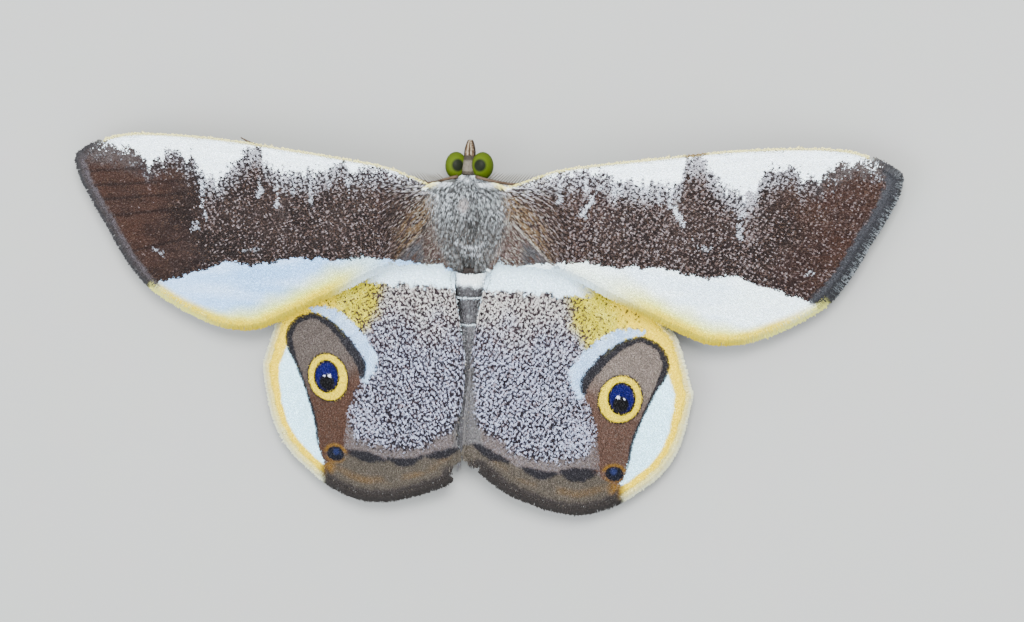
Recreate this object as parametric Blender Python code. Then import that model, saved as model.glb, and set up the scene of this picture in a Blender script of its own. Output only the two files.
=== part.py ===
"""Life-size still model of a patterned moth at rest with its wings spread.

Blender 4.5, metres, +Z up. The moth lies on the floor with its head towards +Y
and its right side at +X. Lengths are written in millimetres and turned into
metres when each mesh is made.
"""

import math

import bmesh
import bpy
from mathutils import Euler, Matrix, Vector
from mathutils.geometry import delaunay_2d_cdt

MM = 0.001
COLLECTION = "opisthoxia_rexrothorum"

# The moth as a whole.
PART_GAP = 0.3
EYE_GAP = 0.2
WING_THICKNESS = 0.5
VEIN_HEIGHT = 0.13
VEIN_HALF_WIDTH = 0.3
VEIN_END_GAP = 0.9

# Body centre line: x and y. The abdomen bends to the moth's left.
BODY_AXIS = [
    (-0.45, 3.4), (-0.42, 2.3), (-0.25, 1.0), (-0.12, -0.7), (-0.25, -3.0),
    (-0.48, -4.3), (-0.62, -6.3), (-0.85, -8.0), (-1.17, -10.5), (-1.66, -14.3),
]

# Body sections: y, centre height, half width, half height.
THORAX_SECTIONS = [
    (1.15, 2.25, 0.72, 0.75), (0.85, 2.30, 1.15, 1.12), (0.2, 2.30, 1.62, 1.42),
    (-0.7, 2.30, 1.92, 1.60), (-1.7, 2.25, 1.85, 1.55), (-2.5, 2.15, 1.40, 1.28),
    (-3.0, 2.05, 0.90, 0.95),
]
ABDOMEN_SECTIONS = [
    (-3.35, 1.80, 0.76, 0.82), (-3.8, 1.67, 0.84, 0.88), (-4.6, 1.50, 0.81, 0.86),
    (-6.0, 1.20, 0.70, 0.74), (-8.0, 0.95, 0.58, 0.58), (-10.5, 0.86, 0.52, 0.52),
    (-12.8, 0.84, 0.44, 0.44), (-13.9, 0.84, 0.30, 0.32), (-14.3, 0.84, 0.14, 0.16),
]

# Head, eyes and palps.
HEAD_CENTRE = (-0.42, 2.14, 2.02)
HEAD_RADII = (0.86, 0.70, 0.78)
EYE_OFFSET = (0.76, 0.28, -0.04)
EYE_RADII = (0.54, 0.73, 0.74)
EYE_INNER_OFFSET = 0.46
PALP_OFFSET = 0.19
PALP_PATH = [(0.0, 3.03, 1.74, 0.24), (0.0, 3.3, 1.7, 0.24), (-0.03, 3.57, 1.62, 0.19), (-0.05, 3.82, 1.55, 0.09)]

# Feelers: outward x, y, z, half width along the comb, half thickness.
FEELER_RIGHT = [
    (0.16, 1.76, 2.92, 0.25, 0.25), (0.85, 1.64, 2.82, 0.27, 0.25), (2.1, 1.36, 2.42, 0.45, 0.25),
    (4.5, 1.42, 2.16, 0.5, 0.25), (7.5, 1.86, 1.88, 0.42, 0.25), (10.0, 2.24, 1.64, 0.28, 0.22),
    (11.6, 2.5, 1.5, 0.12, 0.12),
]
FEELER_LEFT = [
    (1.0, 1.76, 2.92, 0.25, 0.25), (1.6, 1.66, 2.78, 0.27, 0.25), (2.5, 1.38, 2.4, 0.45, 0.25),
    (4.7, 1.46, 2.14, 0.5, 0.25), (7.7, 2.0, 1.86, 0.42, 0.25), (10.6, 2.62, 1.6, 0.28, 0.22),
    (12.5, 3.32, 1.46, 0.16, 0.16), (13.4, 3.76, 1.4, 0.12, 0.12),
]

# Legs: outward x, y, z, radius, from the hip to the end of the foot.
LEG_PATHS = {
    "foreleg": [
        (1.5, 0.6, 1.2, 0.32), (2.5, 1.05, 1.28, 0.33), (3.5, 1.35, 0.85, 0.28),
        (4.3, 1.2, 0.36, 0.25), (5.5, 1.05, 0.2, 0.25), (6.1, 1.0, 0.2, 0.2),
    ],
    "midleg": [
        (2.05, -0.7, 1.08, 0.34), (3.4, -1.4, 1.16, 0.34), (5.0, -2.2, 0.72, 0.28),
        (6.0, -2.8, 0.32, 0.25), (7.6, -3.6, 0.2, 0.25), (8.2, -3.95, 0.2, 0.2),
    ],
    "hindleg": [
        (1.6, -2.4, 1.12, 0.34), (2.7, -3.7, 1.16, 0.34), (3.6, -5.4, 0.76, 0.28),
        (4.2, -6.8, 0.32, 0.25), (4.9, -8.6, 0.2, 0.25), (5.15, -9.25, 0.2, 0.2),
    ],
}

# Wing frames: the pivot beside the thorax (outward x, y, z), then the angles in degrees.
FORE_PIVOT = (2.0, 0.5, 3.2)
FORE_DROOP = 6.0
FORE_PITCH = 3.0
FORE_TURN = -0.82
HIND_PIVOT = (2.0, -1.5, 2.1)
HIND_DROOP = 5.5
HIND_PITCH = 2.0
HIND_TURN = -3.27

# Wing outlines in each wing's own frame: outward, forward.
FORE_OUTLINE = [
    (0.21, 1.09), (1.16, 1.48), (2.8, 1.99), (4.96, 2.32), (8.17, 2.71), (11.37, 3.08),
    (13.51, 3.24), (15.64, 3.32), (17.76, 3.26), (19.33, 2.9), (20.6, 2.3), (21.12, 1.75),
    (20.85, 0.6), (20.21, -0.62), (19.28, -2.17), (18.55, -3.46), (17.83, -4.46),
    (17.02, -5.33), (16.02, -6.0), (14.51, -6.78), (12.7, -7.41), (10.84, -7.47),
    (9.19, -6.86), (5.9, -5.25), (2.9, -3.72), (1.3, -3.35), (0.15, -3.15), (0.02, -2.6),
    (0.2, -1.6), (0.15, -0.58), (0.12, 0.24),
]
HIND_OUTLINE = [
    (0.5, 0.4), (2.6, 0.25), (4.8, -0.7), (6.9, -2.3), (8.55, -4.2), (9.23, -5.03),
    (10.05, -7.47), (10.15, -8.3), (9.62, -10.82), (8.73, -12.4), (7.7, -13.36),
    (6.05, -14.5), (4.44, -15.02), (3.2, -15.02), (1.98, -14.79), (-0.25, -13.94),
]
# The hindwing's inner edge follows the body: y and the distance from the centre line.
HIND_INNER_EDGE = {
    "right": [
        (-13.6, 0.5), (-12.4, 0.4), (-11.4, 0.4), (-10.0, 0.46), (-8.0, 0.46), (-7.0, 0.56),
        (-6.0, 0.8), (-4.7, 1.08), (-3.9, 1.17),
    ],
    "left": [
        (-14.9, 0.12), (-14.0, 0.1), (-13.4, 0.04), (-12.4, 0.14), (-11.4, 0.1), (-10.0, -0.02),
        (-9.0, 0.0), (-8.0, 0.12), (-7.0, 0.38), (-6.0, 0.76), (-4.7, 1.08), (-3.9, 1.17),
    ],
}
HIND_ROOT_EDGE = [(1.45, -3.2), (2.17, -2.3)]

# Main veins in the same frames.
FORE_VEINS = [
    [(0.7, 0.75), (5.0, 1.75), (10.0, 2.35), (13.0, 2.75)],
    [(0.7, 0.2), (4.0, 0.95), (8.5, 1.45), (13.5, 2.2), (17.5, 2.35), (20.3, 1.75)],
    [(8.5, 1.45), (9.1, 0.9), (14.0, 0.8), (20.3, 0.2)],
    [(9.1, 0.9), (9.3, 0.1), (14.0, -0.7), (19.6, -1.5)],
    [(9.3, 0.1), (9.0, -0.9), (13.0, -2.1), (18.4, -3.5)],
    [(0.7, -0.25), (4.0, -0.7), (8.3, -1.4), (12.0, -3.0), (17.1, -5.1)],
    [(8.3, -1.4), (9.0, -0.9)],
    [(6.0, -1.05), (10.0, -3.6), (14.3, -6.7)],
    [(0.7, -0.7), (4.0, -2.1), (8.0, -4.6), (11.8, -7.2)],
]
HIND_VEINS = [
    [(0.9, -0.2), (4.0, -0.9), (6.6, -2.9), (9.0, -5.4)],
    [(0.9, -0.6), (2.6, -2.2), (5.6, -4.5), (9.9, -7.9)],
    [(3.3, -2.8), (4.5, -4.1), (7.3, -7.0), (9.8, -10.2)],
    [(4.5, -4.1), (4.4, -5.1), (6.6, -8.4), (8.8, -12.1)],
    [(4.4, -5.1), (4.0, -5.8), (5.6, -9.6), (7.1, -13.6)],
    [(0.8, -1.0), (1.6, -3.2), (3.2, -5.7), (4.1, -9.8), (5.0, -14.7)],
    [(3.2, -5.7), (4.0, -5.8)],
    [(2.3, -4.3), (2.4, -9.5), (2.5, -14.7)],
    [(0.9, -3.0), (0.0, -6.0), (-0.1, -9.5), (0.6, -13.9)],
]
FORE_CAMBER = ((10.5, -1.8), (11.0, 5.4), 0.25)
HIND_CAMBER = ((5.2, -9.4), (5.2, 5.6), 0.2)

OUTLINE_STEP = 0.75
VEIN_STEP = 1.2
FILL_STEP = 1.7
RING_SIDES = 20
LEG_SIDES = 10

COLOURS = {
    "head": (0.42, 0.36, 0.33), "eye": (0.36, 0.42, 0.12), "palps": (0.16, 0.09, 0.06),
    "feeler": (0.50, 0.44, 0.38), "thorax": (0.56, 0.55, 0.54), "abdomen": (0.50, 0.48, 0.47),
    "forewing": (0.27, 0.20, 0.17), "hindwing": (0.62, 0.62, 0.64), "leg": (0.46, 0.37, 0.28),
}


def clear_scene():
    for item in list(bpy.data.objects):
        bpy.data.objects.remove(item, do_unlink=True)


def make_collection(name):
    collection = bpy.data.collections.new(name)
    bpy.context.scene.collection.children.link(collection)
    return collection


def make_material(name, colour, roughness=0.75, coat=0.0):
    material = bpy.data.materials.new(name)
    material.use_nodes = True
    shader = material.node_tree.nodes["Principled BSDF"]
    shader.inputs["Base Color"].default_value = (*colour, 1.0)
    shader.inputs["Roughness"].default_value = roughness
    shader.inputs["Metallic"].default_value = 0.0
    shader.inputs["Coat Weight"].default_value = coat
    return material


def smooth_through(points, step):
    """Points along a Catmull-Rom curve through the given open list, about step apart."""
    vectors = [Vector(point) for point in points]
    ends = [vectors[0] * 2 - vectors[1]] + vectors + [vectors[-1] * 2 - vectors[-2]]
    result = [vectors[0]]
    for before, start, end, after in zip(ends, ends[1:], ends[2:], ends[3:]):
        count = max(1, round((end - start).length / step))
        for index in range(1, count + 1):
            t = index / count
            blend = (start * 2 + (end - before) * t
                     + (before * 2 - start * 5 + end * 4 - after) * t ** 2
                     + (start * 3 - before - end * 3 + after) * t ** 3)
            result.append(blend / 2)
    return result


def value_at(table, position):
    """Second column of a table at a position in its first column, going down the table."""
    rows = sorted(table)
    for (left, low), (right, high) in zip(rows, rows[1:]):
        if position <= right:
            share = max(0.0, (position - left) / (right - left))
            return low + (high - low) * share
    return rows[-1][1]


def axis_x(y):
    return value_at([(row_y, row_x) for row_x, row_y in BODY_AXIS], y)


def finish_mesh(name, mesh_data, collection, material, location=(0, 0, 0), rotation=None):
    """Turn a bmesh in millimetres into a named object in metres."""
    bmesh.ops.recalc_face_normals(mesh_data, faces=mesh_data.faces)
    bmesh.ops.scale(mesh_data, vec=(MM, MM, MM), verts=mesh_data.verts)
    mesh = bpy.data.meshes.new(name)
    mesh_data.to_mesh(mesh)
    mesh_data.free()
    mesh.materials.append(material)
    item = bpy.data.objects.new(name, mesh)
    item.location = [value * MM for value in location]
    if rotation:
        item.rotation_euler = rotation
    collection.objects.link(item)
    return item


def tube_mesh(stations, sides):
    """Closed tube along stations of x, y, z, half width and half height."""
    rows = smooth_through(stations, 0.8)
    centres = [Vector(row[:3]) for row in rows]
    mesh_data = bmesh.new()
    rings = []
    for index, row in enumerate(rows):
        ahead = centres[min(index + 1, len(rows) - 1)] - centres[max(index - 1, 0)]
        side = ahead.cross(Vector((0, 0, 1))).normalized()
        up = side.cross(ahead).normalized()
        ring = []
        for step in range(sides):
            angle = math.tau * step / sides
            offset = side * (row[3] * math.cos(angle)) + up * (row[4] * math.sin(angle))
            ring.append(mesh_data.verts.new(centres[index] + offset))
        rings.append(ring)
    for first, second in zip(rings, rings[1:]):
        for step in range(sides):
            following = (step + 1) % sides
            mesh_data.faces.new((first[step], first[following], second[following], second[step]))
    mesh_data.faces.new(rings[0])
    mesh_data.faces.new(rings[-1])
    return mesh_data


def flatten_below(mesh_data, height):
    """Cut off what lies below a height and close the cut with a flat face."""
    geometry = mesh_data.verts[:] + mesh_data.edges[:] + mesh_data.faces[:]
    cut = bmesh.ops.bisect_plane(mesh_data, geom=geometry, plane_co=(0, 0, height),
                                 plane_no=(0, 0, -1), clear_outer=True)
    edges = [part for part in cut["geom_cut"] if isinstance(part, bmesh.types.BMEdge)]
    bmesh.ops.holes_fill(mesh_data, edges=edges)


def body_stations(sections):
    return [(axis_x(y), y, z, half_width, half_height) for y, z, half_width, half_height in sections]


def ellipsoid_mesh(centre, radii, segments=24, rings=14):
    mesh_data = bmesh.new()
    bmesh.ops.create_uvsphere(mesh_data, u_segments=segments, v_segments=rings, radius=1.0)
    bmesh.ops.scale(mesh_data, vec=radii, verts=mesh_data.verts)
    bmesh.ops.translate(mesh_data, vec=centre, verts=mesh_data.verts)
    return mesh_data


def eye_mesh(side, grow):
    """One eye as a dome on the head's side, larger all round by grow."""
    outward, ahead, up = EYE_OFFSET
    centre = Vector(HEAD_CENTRE) + Vector((side * outward, ahead, up))
    radii = [radius + grow for radius in EYE_RADII]
    mesh_data = ellipsoid_mesh(centre, radii)
    geometry = mesh_data.verts[:] + mesh_data.edges[:] + mesh_data.faces[:]
    plane = (HEAD_CENTRE[0] + side * (EYE_INNER_OFFSET - grow), 0, 0)
    cut = bmesh.ops.bisect_plane(mesh_data, geom=geometry, plane_co=plane,
                                 plane_no=(-side, 0, 0), clear_outer=True)
    edges = [part for part in cut["geom_cut"] if isinstance(part, bmesh.types.BMEdge)]
    bmesh.ops.holes_fill(mesh_data, edges=edges)
    return mesh_data


def add_boolean(item, cutter, operation):
    modifier = item.modifiers.new(operation.lower(), "BOOLEAN")
    modifier.operation = operation
    modifier.object = cutter
    modifier.solver = "EXACT"
    cutter.hide_render = True
    cutter.display_type = "WIRE"


def make_head(collection, material):
    head = finish_mesh("head", ellipsoid_mesh(HEAD_CENTRE, HEAD_RADII), collection, material)
    for side, label in ((1, "right"), (-1, "left")):
        pocket = finish_mesh("eye_pocket_" + label, eye_mesh(side, EYE_GAP), collection, material)
        add_boolean(head, pocket, "DIFFERENCE")
    return head


def make_palps(collection, material):
    items = []
    for side, label in ((1, "right"), (-1, "left")):
        stations = [(HEAD_CENTRE[0] + side * PALP_OFFSET + x, y, z, radius, radius) for x, y, z, radius in PALP_PATH]
        name = "palps" if side == 1 else "palp_" + label
        items.append(finish_mesh(name, tube_mesh(stations, 12), collection, material))
    add_boolean(items[0], items[1], "UNION")
    return items[0]


def wing_matrix(pivot, side, droop, pitch, turn):
    rotation = wing_rotation(side, droop, pitch, turn)
    return Matrix.Translation((side * pivot[0], pivot[1], pivot[2])) @ rotation.to_matrix().to_4x4()


def wing_rotation(side, droop, pitch, turn):
    tilt = Matrix.Rotation(math.radians(side * droop), 3, "Y") @ Matrix.Rotation(math.radians(pitch), 3, "X")
    return (Matrix.Rotation(math.radians(turn), 3, "Z") @ tilt).to_euler()


def hind_outline(side, label):
    """The shared outer edge, closed by an inner edge that follows the body."""
    placed = wing_matrix(HIND_PIVOT, side, HIND_DROOP, HIND_PITCH, HIND_TURN)
    to_wing = placed.inverted()
    edge = [(axis_x(y) + side * distance, y) for y, distance in HIND_INNER_EDGE[label]]
    edge += [(side * x, y) for x, y in HIND_ROOT_EDGE]
    outline = list(HIND_OUTLINE)
    for x, y in edge:
        height = HIND_PIVOT[2] - math.tan(math.radians(HIND_DROOP)) * (side * x - HIND_PIVOT[0])
        local = to_wing @ Vector((x, y, height))
        outline.append((side * local.x, local.y))
    return outline


def segment_distance(point, start, end):
    along = end - start
    share = max(0.0, min(1.0, (point - start).dot(along) / along.length_squared))
    return (point - start - along * share).length


def edge_distance(point, loop):
    return min(segment_distance(point, start, end) for start, end in zip(loop, loop[1:] + loop[:1]))


def is_inside(point, loop):
    inside = False
    for start, end in zip(loop, loop[1:] + loop[:1]):
        if (start.y > point.y) != (end.y > point.y):
            crossing = start.x + (point.y - start.y) * (end.x - start.x) / (end.y - start.y)
            if point.x < crossing:
                inside = not inside
    return inside


def vein_lines(veins, loop):
    """Each vein as a smooth line that stops short of the wing's edge."""
    lines = []
    for vein in veins:
        line = smooth_through(vein, VEIN_STEP)
        kept = [point for point in line if is_inside(point, loop) and edge_distance(point, loop) > VEIN_END_GAP * 0.4]
        if len(kept) > 1:
            lines.append(kept)
    return lines


def surface_height(point, lines, camber):
    """Height of the wing's middle surface: a low dome with a ridge along each vein."""
    nearest = min(segment_distance(point, start, end) for line in lines for start, end in zip(line, line[1:]))
    ridge = VEIN_HEIGHT * max(0.0, 1.0 - nearest / VEIN_HALF_WIDTH)
    centre, radii, rise = camber
    spread = ((point.x - centre[0]) / radii[0]) ** 2 + ((point.y - centre[1]) / radii[1]) ** 2
    return ridge + rise * max(0.0, 1.0 - spread) ** 2


def offset_line(line, distance):
    result = []
    for index, point in enumerate(line):
        ahead = line[min(index + 1, len(line) - 1)] - line[max(index - 1, 0)]
        result.append(point + Vector((-ahead.y, ahead.x)).normalized() * distance)
    return result


def wing_mesh(outline, veins, camber, side):
    """Open triangulated surface of a wing with its veins raised, mirrored for the left side."""
    closed = smooth_through(outline + [outline[0]], OUTLINE_STEP)
    loop = closed[:-1]
    lines = vein_lines(veins, loop)
    points = list(loop)
    edges = [(index, (index + 1) % len(loop)) for index in range(len(loop))]
    for line in lines:
        for track in (line, offset_line(line, VEIN_HALF_WIDTH), offset_line(line, -VEIN_HALF_WIDTH)):
            inner = [point for point in track if is_inside(point, loop) and edge_distance(point, loop) > 0.15]
            edges += [(len(points) + index, len(points) + index + 1) for index in range(len(inner) - 1)]
            points += inner
    points += fill_points(loop, lines)
    flat, _, faces, *_ = delaunay_2d_cdt(points, edges, [list(range(len(loop)))], 1, 0.02)
    mesh_data = bmesh.new()
    verts = [mesh_data.verts.new((side * point.x, point.y, surface_height(point, lines, camber))) for point in flat]
    for face in faces:
        mesh_data.faces.new([verts[index] for index in face])
    loose = [vert for vert in mesh_data.verts if not vert.link_faces]
    bmesh.ops.delete(mesh_data, geom=loose, context="VERTS")
    return mesh_data


def thicken(mesh_data, thickness):
    """Give the surface an equal lower face, so that both faces share one triangulation."""
    bmesh.ops.translate(mesh_data, vec=(0, 0, thickness / 2), verts=mesh_data.verts)
    copied = bmesh.ops.extrude_face_region(mesh_data, geom=mesh_data.faces[:], use_keep_orig=True)
    lower = [part for part in copied["geom"] if isinstance(part, bmesh.types.BMVert)]
    bmesh.ops.translate(mesh_data, vec=(0, 0, -thickness), verts=lower)


def fill_points(loop, lines):
    """Evenly staggered points over the open panels between the veins."""
    low_x, high_x = min(point.x for point in loop), max(point.x for point in loop)
    low_y, high_y = min(point.y for point in loop), max(point.y for point in loop)
    result = []
    rows = int((high_y - low_y) / FILL_STEP) + 1
    columns = int((high_x - low_x) / FILL_STEP) + 1
    for row in range(rows):
        for column in range(columns):
            shift = 0.5 * (row % 2)
            point = Vector((low_x + (column + shift) * FILL_STEP, low_y + (row + 0.5) * FILL_STEP))
            clear = min(segment_distance(point, start, end) for line in lines for start, end in zip(line, line[1:]))
            if is_inside(point, loop) and edge_distance(point, loop) > 0.5 and clear > 0.65:
                result.append(point)
    return result


def make_wing(name, outline, veins, camber, pivot, side, angles, collection, material):
    mesh_data = wing_mesh(outline, veins, camber, side)
    thicken(mesh_data, WING_THICKNESS)
    location = (side * pivot[0], pivot[1], pivot[2])
    return finish_mesh(name, mesh_data, collection, material, location, wing_rotation(side, *angles))


def make_leg(kind, side, label, collection, material):
    stations = [(side * x, y, z, radius, radius) for x, y, z, radius in LEG_PATHS[kind]]
    mesh_data = tube_mesh(stations, LEG_SIDES)
    flatten_below(mesh_data, 0.0)
    return finish_mesh(kind + "_" + label, mesh_data, collection, material)


def make_body(collection):
    items = []
    for name, sections in (("thorax", THORAX_SECTIONS), ("abdomen", ABDOMEN_SECTIONS)):
        material = make_material(name, COLOURS[name], 0.9)
        items.append(finish_mesh(name, tube_mesh(body_stations(sections), RING_SIDES), collection, material))
    items.append(make_head(collection, make_material("head", COLOURS["head"], 0.9)))
    items.append(make_palps(collection, make_material("palps", COLOURS["palps"], 0.8)))
    return items


def make_side(side, label, collection):
    items = []
    eye_material = make_material("eye_" + label, COLOURS["eye"], 0.25, 0.5)
    items.append(finish_mesh("eye_" + label, eye_mesh(side, 0.0), collection, eye_material))
    feeler = FEELER_RIGHT if side == 1 else FEELER_LEFT
    stations = [(side * x, y, z, half_width, half_height) for x, y, z, half_width, half_height in feeler]
    feeler_material = make_material("antenna_" + label, COLOURS["feeler"], 0.8)
    items.append(finish_mesh("antenna_" + label, tube_mesh(stations, 10), collection, feeler_material))
    fore_material = make_material("forewing_" + label, COLOURS["forewing"], 0.7)
    fore_angles = (FORE_DROOP, FORE_PITCH, FORE_TURN)
    items.append(make_wing("forewing_" + label, FORE_OUTLINE, FORE_VEINS, FORE_CAMBER, FORE_PIVOT, side,
                           fore_angles, collection, fore_material))
    hind_material = make_material("hindwing_" + label, COLOURS["hindwing"], 0.7)
    hind_angles = (HIND_DROOP, HIND_PITCH, HIND_TURN)
    items.append(make_wing("hindwing_" + label, hind_outline(side, label), HIND_VEINS, HIND_CAMBER, HIND_PIVOT,
                           side, hind_angles, collection, hind_material))
    for kind in LEG_PATHS:
        material = make_material(kind + "_" + label, COLOURS["leg"], 0.8)
        items.append(make_leg(kind, side, label, collection, material))
    return items


def centre_on_floor(items):
    """Parent every part to one empty and move it so the box's middle is over the origin."""
    bpy.context.view_layer.update()
    corners = [item.matrix_world @ vert.co for item in items for vert in item.data.vertices]
    middle_x = (min(corner.x for corner in corners) + max(corner.x for corner in corners)) / 2
    middle_y = (min(corner.y for corner in corners) + max(corner.y for corner in corners)) / 2
    root = bpy.data.objects.new("moth_root", None)
    root.location = (-middle_x, -middle_y, 0)
    bpy.data.collections[COLLECTION].objects.link(root)
    for item in bpy.data.collections[COLLECTION].objects:
        if item is not root:
            item.parent = root


def build_moth():
    clear_scene()
    collection = make_collection(COLLECTION)
    items = make_body(collection)
    for side, label in ((1, "right"), (-1, "left")):
        items += make_side(side, label, collection)
    centre_on_floor(items)


build_moth()
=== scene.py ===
import math
import bmesh
import bpy
import numpy as np
from mathutils import Matrix, Vector
from mathutils.bvhtree import BVHTree


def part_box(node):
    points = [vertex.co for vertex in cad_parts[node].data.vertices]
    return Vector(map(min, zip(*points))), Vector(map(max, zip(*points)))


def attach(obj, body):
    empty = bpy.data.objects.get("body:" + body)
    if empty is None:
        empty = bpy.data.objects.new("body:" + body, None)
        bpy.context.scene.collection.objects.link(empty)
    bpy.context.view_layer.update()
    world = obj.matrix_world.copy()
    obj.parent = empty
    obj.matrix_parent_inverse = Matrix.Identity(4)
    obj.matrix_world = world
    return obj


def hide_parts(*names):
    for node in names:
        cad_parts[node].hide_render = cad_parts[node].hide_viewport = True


# Worked out in millimetres on the moth's own axes; each mesh is turned into metres when it is made.
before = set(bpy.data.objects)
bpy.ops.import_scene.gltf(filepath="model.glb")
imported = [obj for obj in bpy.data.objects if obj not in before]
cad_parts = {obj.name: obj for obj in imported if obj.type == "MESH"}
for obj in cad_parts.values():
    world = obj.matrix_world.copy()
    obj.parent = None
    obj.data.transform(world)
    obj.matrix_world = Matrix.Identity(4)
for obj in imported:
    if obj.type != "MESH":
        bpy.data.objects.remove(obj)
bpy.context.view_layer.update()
mm = 0.001
dense = 1
random = np.random.default_rng(23)
draw, gauss = random.random, random.normal
eyeLow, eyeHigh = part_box("eye_right")
shift = np.array([eyeHigh[0] / mm - 0.88, (eyeLow[1] + eyeHigh[1]) / 2 / mm - 2.42, 0])
sides = {"right": 1, "left": -1}
tiny = 1e-12


def both(left, right):
    return {"left": left, "right": right}


# arrays and numbers side by side as columns
def columns(*parts):
    return np.stack(np.broadcast_arrays(*parts), 1)


def smoothLine(points, step):
    pts = [np.array(p, float) for p in points]
    pts = [2 * pts[0] - pts[1]] + pts + [2 * pts[-1] - pts[-2]]
    out = [pts[1]]
    for a, b, c, d in zip(pts, pts[1:], pts[2:], pts[3:]):
        n = max(1, round(np.linalg.norm((c - b)[:3]) / step))
        for t in (i / n for i in range(1, n + 1)):
            bend = (2 * a - 5 * b + 4 * c - d) * t ** 2 + (3 * b - a - 3 * c + d) * t ** 3
            out.append((2 * b + (c - a) * t + bend) / 2)
    return np.array(out)


def lineDistance(p, line):
    best = np.full(len(p), np.inf)
    for a, b in zip(np.array(line[:-1]), np.array(line[1:])):
        t = np.clip(((p - a) @ (b - a)) / max((b - a) @ (b - a), tiny), 0, 1)
        best = np.minimum(best, np.hypot(*(p - (a + t[:, None] * (b - a))).T))
    return best


def insideLoop(p, loop):
    inside = np.zeros(len(p), bool)
    for a, b in zip(loop, np.roll(loop, -1, axis=0)):
        crosses = (a[1] > p[:, 1]) != (b[1] > p[:, 1])
        run = b[1] - a[1] if abs(b[1] - a[1]) > tiny else tiny
        inside ^= crosses & (p[:, 0] < a[0] + (p[:, 1] - a[1]) * (b[0] - a[0]) / run)
    return inside


# how far along a line each of its points is, and a line's values at such distances
def runOf(line):
    return np.concatenate([[0], np.cumsum(np.linalg.norm(np.diff(line[:, :3], axis=0), axis=1))])


def valuesAt(s, run, line):
    return columns(*(np.interp(s, run, column) for column in line.T))


def tableAt(x, table):
    return np.interp(x, *np.array(table).T)


# value between a cell's four corners
def between(f, corner):
    low, high = (corner(0, y) * (1 - f[:, 0]) + corner(1, y) * f[:, 0] for y in (0, 1))
    return low * (1 - f[:, 1]) + high * f[:, 1]


hashing = {"x": 73856093, "y": 19349663, "seed": 83492791, "mix": 1274126177}


# smooth random values, one per cell, the same on every run
def grain(p, cell, seed):
    g = p / cell
    i = np.floor(g).astype(np.int64)
    f = g - i

    def corner(dx, dy):
        h = ((i[:, 0] + dx) * hashing["x"]) ^ ((i[:, 1] + dy) * hashing["y"]) ^ (seed * hashing["seed"])
        h = ((h ^ (h >> 13)) * hashing["mix"]) & 0x7FFFFFFF
        return ((h ^ (h >> 15)) & 0xFFFF) / 65535
    return between(f * f * (3 - 2 * f), corner)


def wave(p, cell, seed):
    return grain(p, cell, seed) - 0.5


# winding pattern of even width, about zero on average
def worms(p, cell, seed):
    q = p @ np.array([(0.87, 0.5), (-0.5, 0.87)])
    around = sum(grain(q + [a * cell, b * cell], cell, seed) for a in (-1, 1) for b in (-1, 1))
    return grain(q, cell, seed) - around / 4


def fade(x, start, end):
    t = np.clip((x - start) / (end - start), 0, 1)
    return t * t * (3 - 2 * t)


def paint(tint, colour, amount):
    return tint + (np.asarray(colour) - tint) * np.clip(amount, 0, 1)[:, None]


def ground(colour, n):
    return np.tile(np.array(colour), (n, 1))


# coats of colour over a first one; each is a colour or its name, and how much of it
def layers(table, start, *coats):
    tint = np.asarray(table[start] if isinstance(start, str) else start)
    for colour, amount in coats:
        tint = paint(tint, table[colour] if isinstance(colour, str) else colour, amount)
    return tint


# a table with one side's values in place of each pair
def forSide(table, label):
    return {name: v[label] if isinstance(v, dict) else v for name, v in table.items()}


# how much a stroke with its own half widths covers each point
def stroke(p, line, wobble=0, soft=0.04):
    cover = np.zeros(len(p))
    rows = smoothLine(line, 0.25)
    for a, b in zip(rows[:-1], rows[1:]):
        half = (a[2] + b[2]) / 2
        cover = np.maximum(cover, fade(lineDistance(p, [a[:2], b[:2]]) + wobble, half + soft, half - soft))
    return cover


def unit(v):
    return v / np.maximum(np.linalg.norm(v, axis=-1, keepdims=True), 1e-9)


def squared(up, along):
    return unit(up - along * (up * along).sum(1)[:, None])


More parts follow.
